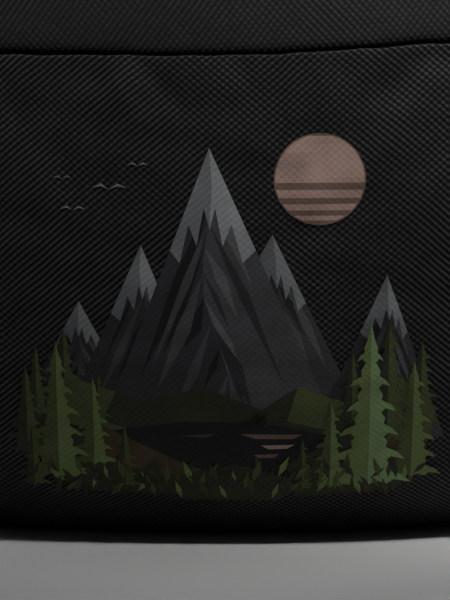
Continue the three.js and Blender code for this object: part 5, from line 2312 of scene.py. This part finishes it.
@dataclass
class WaistBelt:
    """The webbing, folded round the buckle's bars, and its elastic keeper. Sizes are in millimetres."""

    maker: Maker
    course: BeltCourse
    width: float = 30.0
    thickness: float = 1.6
    bar_x: float = 28.5
    fold_radius: float = 2.9
    fold_end_x: float = 53.0
    fold_land: float = 11.0
    sewn_lift: float = 1.62
    tail_lift: float = 2.2
    tail_to_x: float = 138.0
    wing_end: float = 84.0
    box_half: float = 11.5
    keeper_x: float = 112.0
    keeper_length: float = 12.0
    keeper_wall: float = 1.2
    keeper_gap: float = 0.3

    def _lift(self, side: Side) -> float:
        """How far the returning strap lies over the strap."""
        return self.tail_lift if side is Side.LEFT else self.sewn_lift

    def _fold(self, lift: float) -> Array:
        """The fold round the bar, in the buckle's plane.

        Args:
            lift: How far the returning strap lies over the strap.

        Returns:
            Rows of the distance from the buckle's middle and the distance out from the belt.
        """
        radius, back = self.fold_radius, lift - self.fold_radius
        turn = np.linspace(-math.pi / 2, -3 * math.pi / 2, 18)
        # The belt's own curve falls away from the buckle's plane by these amounts.
        away = [(self.fold_end_x, 1.35), (50.0, 1.0), (46.0, 0.5), (42.0, 0.2), (35.0, 0.03)]
        way_in = [(x, -radius - drop) for x, drop in away]
        bend = [(self.bar_x + radius * math.cos(a), radius * math.sin(a)) for a in turn]
        share = np.linspace(0, 1, 9)[1:]
        swing = np.column_stack([self.bar_x + self.fold_land * share, radius + (back - radius) * ease(share)])
        way_out = [(x, back - drop) for x, drop in away[2::-1]]
        return np.array([*way_in, *bend, *swing, *way_out])

    def _course(self, side: Side) -> tuple[Array, Array]:
        """The middle line of one half of the belt.

        Args:
            side: The side of the belt.

        Returns:
            Points in metres, and width directions.
        """
        c = self.course
        run = np.linspace(self.wing_end, c.distance_at(self.fold_end_x + 1), 170)
        points, width, _ = c.frames(run, side)
        rear_y = c.loop_y + c.depth
        fall = math.atan(c.fall)
        origin = np.array([0.0, rear_y, float(c.height(np.array(rear_y)))])
        fold = self._fold(self._lift(side))
        plane = np.array([[side.value, 0.0, 0.0], [0.0, math.cos(fall), -math.sin(fall)]])
        folded = (origin + fold @ plane) * MM
        fold_width = np.tile([0.0, math.sin(fall), math.cos(fall)], (len(folded), 1))
        path, widths = [points, folded], [width, fold_width]
        if side is Side.LEFT:
            tail = np.linspace(c.distance_at(self.fold_end_x + 2), c.distance_at(self.tail_to_x), 50)
            back, back_width, back_out = c.frames(tail, side)
            path.append(back + back_out * self._lift(side) * MM)
            widths.append(back_width)
        return np.concatenate(path), np.concatenate(widths)

    def _strap(self, side: Side) -> Piece:
        """One half of the belt.

        Args:
            side: The side of the belt.

        Returns:
            The webbing.
        """
        path, width = self._course(side)
        lengths = run_lengths(path)
        even = np.arange(0, lengths[-1], self.thickness * MM)
        path, width = along_path(even, lengths, path), unit(along_path(even, lengths, width))
        out = unit(np.cross(unit(np.gradient(path, axis=0)), width) * side.value)
        h, t = self.width / 2, self.thickness / 2
        flat = [(x, -t) for x in (-h + 0.5, *np.linspace(-h + 3, h - 3, 7), h - 0.5)]
        section = [*flat, (h, -t * 0.4), (h, t * 0.4)]
        section += [(-x, -y) for x, y in section]
        return self.maker.table.tube(f"belt_{side.word}_webbing", path, width, out, section)

    def _tacks(self, side: Side) -> Piece:
        """Crossed boxes of stitches where the wing holds the webbing, and where the sewn end is held.

        Args:
            side: The side of the belt.

        Returns:
            The stitches, as one piece.
        """
        c = self.course
        half = self.box_half
        boxes = [(self.wing_end + 11, self.wing_end + 30, 0.83)]
        if side is Side.RIGHT:
            boxes.append((c.distance_at(52), c.distance_at(41), 2.5))
        runs = []
        for first, last, lift in boxes:
            around = [(first, -half), (first, half), (last, half)]
            around += [(last, -half), (first, -half), (last, half)]
            for line in (around, [(first, half), (last, -half)]):
                for (d0, w0), (d1, w1) in zip(line, line[1:]):
                    p, width, out = c.frames(np.linspace(d0, d1, 12), side)
                    runs.append((p + (width * np.linspace(w0, w1, 12)[:, None] + out * lift) * MM, out))
        return self.maker.sewing.rows(f"belt_{side.word}_tacks", runs)

    def _keeper(self) -> Piece:
        """The elastic loop that holds the strap's free end.

        Returns:
            The loop.
        """
        start = self.course.distance_at(self.keeper_x)
        points, width, out = self.course.frames(np.linspace(start - self.keeper_length, start, 14), Side.LEFT)
        wall = self.keeper_wall
        w = self.width / 2 + self.keeper_gap + wall
        t = (self.tail_lift + self.thickness) / 2 + self.keeper_gap + wall
        circle = np.array(oval(1.0, 1.0, 48))
        squarish = np.sign(circle) * np.abs(circle) ** np.array([0.25, 0.45]) * np.array([w, t])
        ring = np.vstack([squarish, squarish[:1]])
        middle = points + out * (self.tail_lift / 2) * MM
        outer = swept(middle, width, out, ring)
        inner = swept(middle, width, out, ring * np.array([(w - wall) / w, (t - wall) / t]))
        loop = np.concatenate([outer, inner[::-1], outer[:1]], axis=0).transpose(1, 0, 2)
        return self.maker.table.close(self.maker.table.panel("keeper_elastic", loop))

    def build(self) -> None:
        """Builds and dresses both straps, their stitches and the keeper."""
        m = self.maker
        for side in Side:
            m.dress(self._strap(side), m.finishes.webbing, "webbing", BAG, f"belt_{side.word}")
            m.dress(self._tacks(side), m.finishes.thread, "webbing", BAG)
        m.dress(self._keeper(), m.finishes.elastic, "webbing", BAG, "strap_keeper")


@dataclass
class SideReleaseBuckle:
    """The buckle's socket and plug."""

    maker: Maker
    rounding: float = 0.5
    sharp_angle: float = 25.0

    def build(self) -> None:
        """Rounds both halves and gives them their finish."""
        m = self.maker
        for node in ("buckle_socket", "buckle_plug"):
            piece = m.table.moulded_copy(m.nodes[node], node + "_moulded", self.rounding, self.sharp_angle)
            m.dress(piece, m.finishes.buckle, "buckle", BAG, node)


# Studio


@dataclass(frozen=True)
class Lamp:
    """One square soft lamp: where it hangs and points in metres, its width, watts and beam in degrees."""

    name: str
    place: Place
    aim: Place
    size: float
    power: float
    spread: float

    def hang(self) -> None:
        """Puts the lamp in the scene."""
        data = bpy.data.lights.new(self.name, "AREA")
        data.shape = "SQUARE"
        data.size = self.size
        data.energy = self.power
        data.spread = math.radians(self.spread)
        lamp = bpy.data.objects.new(self.name, data)
        bpy.context.collection.objects.link(lamp)
        lamp.location = self.place
        lamp.rotation_euler = (Vector(self.aim) - Vector(self.place)).to_track_quat("-Z", "Y").to_euler()


@dataclass
class Studio:
    """A pale floor, soft light and the photograph's camera. Sizes are in metres."""

    table: CuttingTable
    aim: Place = (0.0, -0.060, 0.0506)
    distance: float = 0.62
    elevation: float = 5.0
    frame_height: float = 0.114
    sensor_mm: float = 36.0
    floor_size: float = 8.0
    floor_low: Colour = (0.52, 0.52, 0.515, 1)
    floor_high: Colour = (0.56, 0.56, 0.555, 1)
    air: Colour = (0.9, 0.92, 0.95, 1)
    air_strength: float = 0.027
    lamps: tuple[Lamp, ...] = (
        Lamp("key", (0.15, -0.36, 0.86), (0.06, 0.07, 0.185), 0.2, 0.58, 26),
        Lamp("side_left", (-1.2, 0.45, 0.8), (0.0, 0.0, 0.07), 0.7, 1.0, 70),
        Lamp("side_right", (1.2, 0.35, 0.8), (0.0, 0.0, 0.07), 0.7, 1.2, 70),
        Lamp("rear_left", (-0.6, 1.1, 1.0), (0.0, 0.15, 0.05), 0.7, 1.6, 50),
        Lamp("rear_right", (0.7, 1.1, 1.1), (0.0, 0.15, 0.05), 0.7, 1.6, 50),
    )

    def camera(self) -> None:
        """Places the camera in front of the pocket, a little above its middle."""
        lift = math.radians(self.elevation)
        target = Vector(self.aim)
        place = target + Vector((0, -math.cos(lift), math.sin(lift))) * self.distance
        data = bpy.data.cameras.new("camera")
        data.sensor_fit = "AUTO"
        data.sensor_width = self.sensor_mm
        data.lens = self.sensor_mm * self.distance / self.frame_height
        data.clip_start = 0.01
        data.clip_end = 20.0
        camera = bpy.data.objects.new("camera", data)
        bpy.context.collection.objects.link(camera)
        camera.location = place
        camera.rotation_euler = (target - place).to_track_quat("-Z", "Y").to_euler()
        bpy.context.scene.camera = camera

    def floor(self) -> None:
        """Lays a plain pale floor."""
        self.table.clear()
        bpy.ops.mesh.primitive_grid_add(x_subdivisions=4, y_subdivisions=4, size=self.floor_size)
        floor = self.table.name(bpy.context.active_object, "studio_floor")
        material, r, shader = fresh_material("studio_paper")
        noise = r.fill(r.add("ShaderNodeTexNoise"), Scale=3.0)
        r.fill(shader, Base_Color=r.mix(noise.outputs["Fac"], self.floor_low, self.floor_high), Roughness=0.9)
        floor.data.materials.append(material)

    def lights(self) -> None:
        """Hangs a high key lamp, weak fills at the sides and the rear, and gives the air a faint light."""
        for lamp in self.lamps:
            lamp.hang()
        world = bpy.data.worlds.new("studio")
        world.use_nodes = True
        background = world.node_tree.nodes["Background"]
        background.inputs["Color"].default_value = self.air
        background.inputs["Strength"].default_value = self.air_strength
        bpy.context.scene.world = world
        bpy.context.scene.view_settings.view_transform = "Standard"

    def build(self) -> None:
        """Sets the whole studio."""
        self.camera()
        self.floor()
        self.lights()


# Assembly


def build_zips(maker: Maker) -> None:
    """Builds the top zip, which lies on the sloping top panel, and the upright pocket zip.

    Args:
        maker: What the pieces are made with.
    """
    c = maker.curves
    tilt = math.atan(c.top_slope)
    top = c.top_z + c.top_slope * (c.top_radius - c.zip_radius) + 0.3
    across, out = (math.cos(tilt), -math.sin(tilt)), (math.sin(tilt), math.cos(tilt))
    CoilZip(maker, "top_zip", "main_zip", c.zip_half_angle, c.zip_radius, top, across, out).build()
    pocket_z = 90.5
    seat = float(c.body_face(np.array(pocket_z))) + 0.45
    half_angle = math.radians(36)
    CoilZip(maker, "pocket_zip", "pocket_zip", half_angle, seat, pocket_z, (0.0, 1.0), (1.0, 0.0)).build()


def main() -> None:
    """Builds the bag's sub-assemblies in order."""
    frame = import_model()
    table = CuttingTable()
    Studio(table).build()
    maker = Maker(frame["nodes"], BagCurves(), table, Sewing(table), Finishes())
    Pouch(maker).build()
    pocket = FrontPocket(maker)
    pocket.build()
    MountainPrint(maker, pocket).build()
    build_zips(maker)
    ZipFittings(maker).build()
    BackPad(maker).build()
    course = BeltCourse()
    for side in Side:
        HipWing(maker, course, side).build()
    WaistBelt(maker, course).build()
    SideReleaseBuckle(maker).build()


if __name__ == "__main__":
    main()
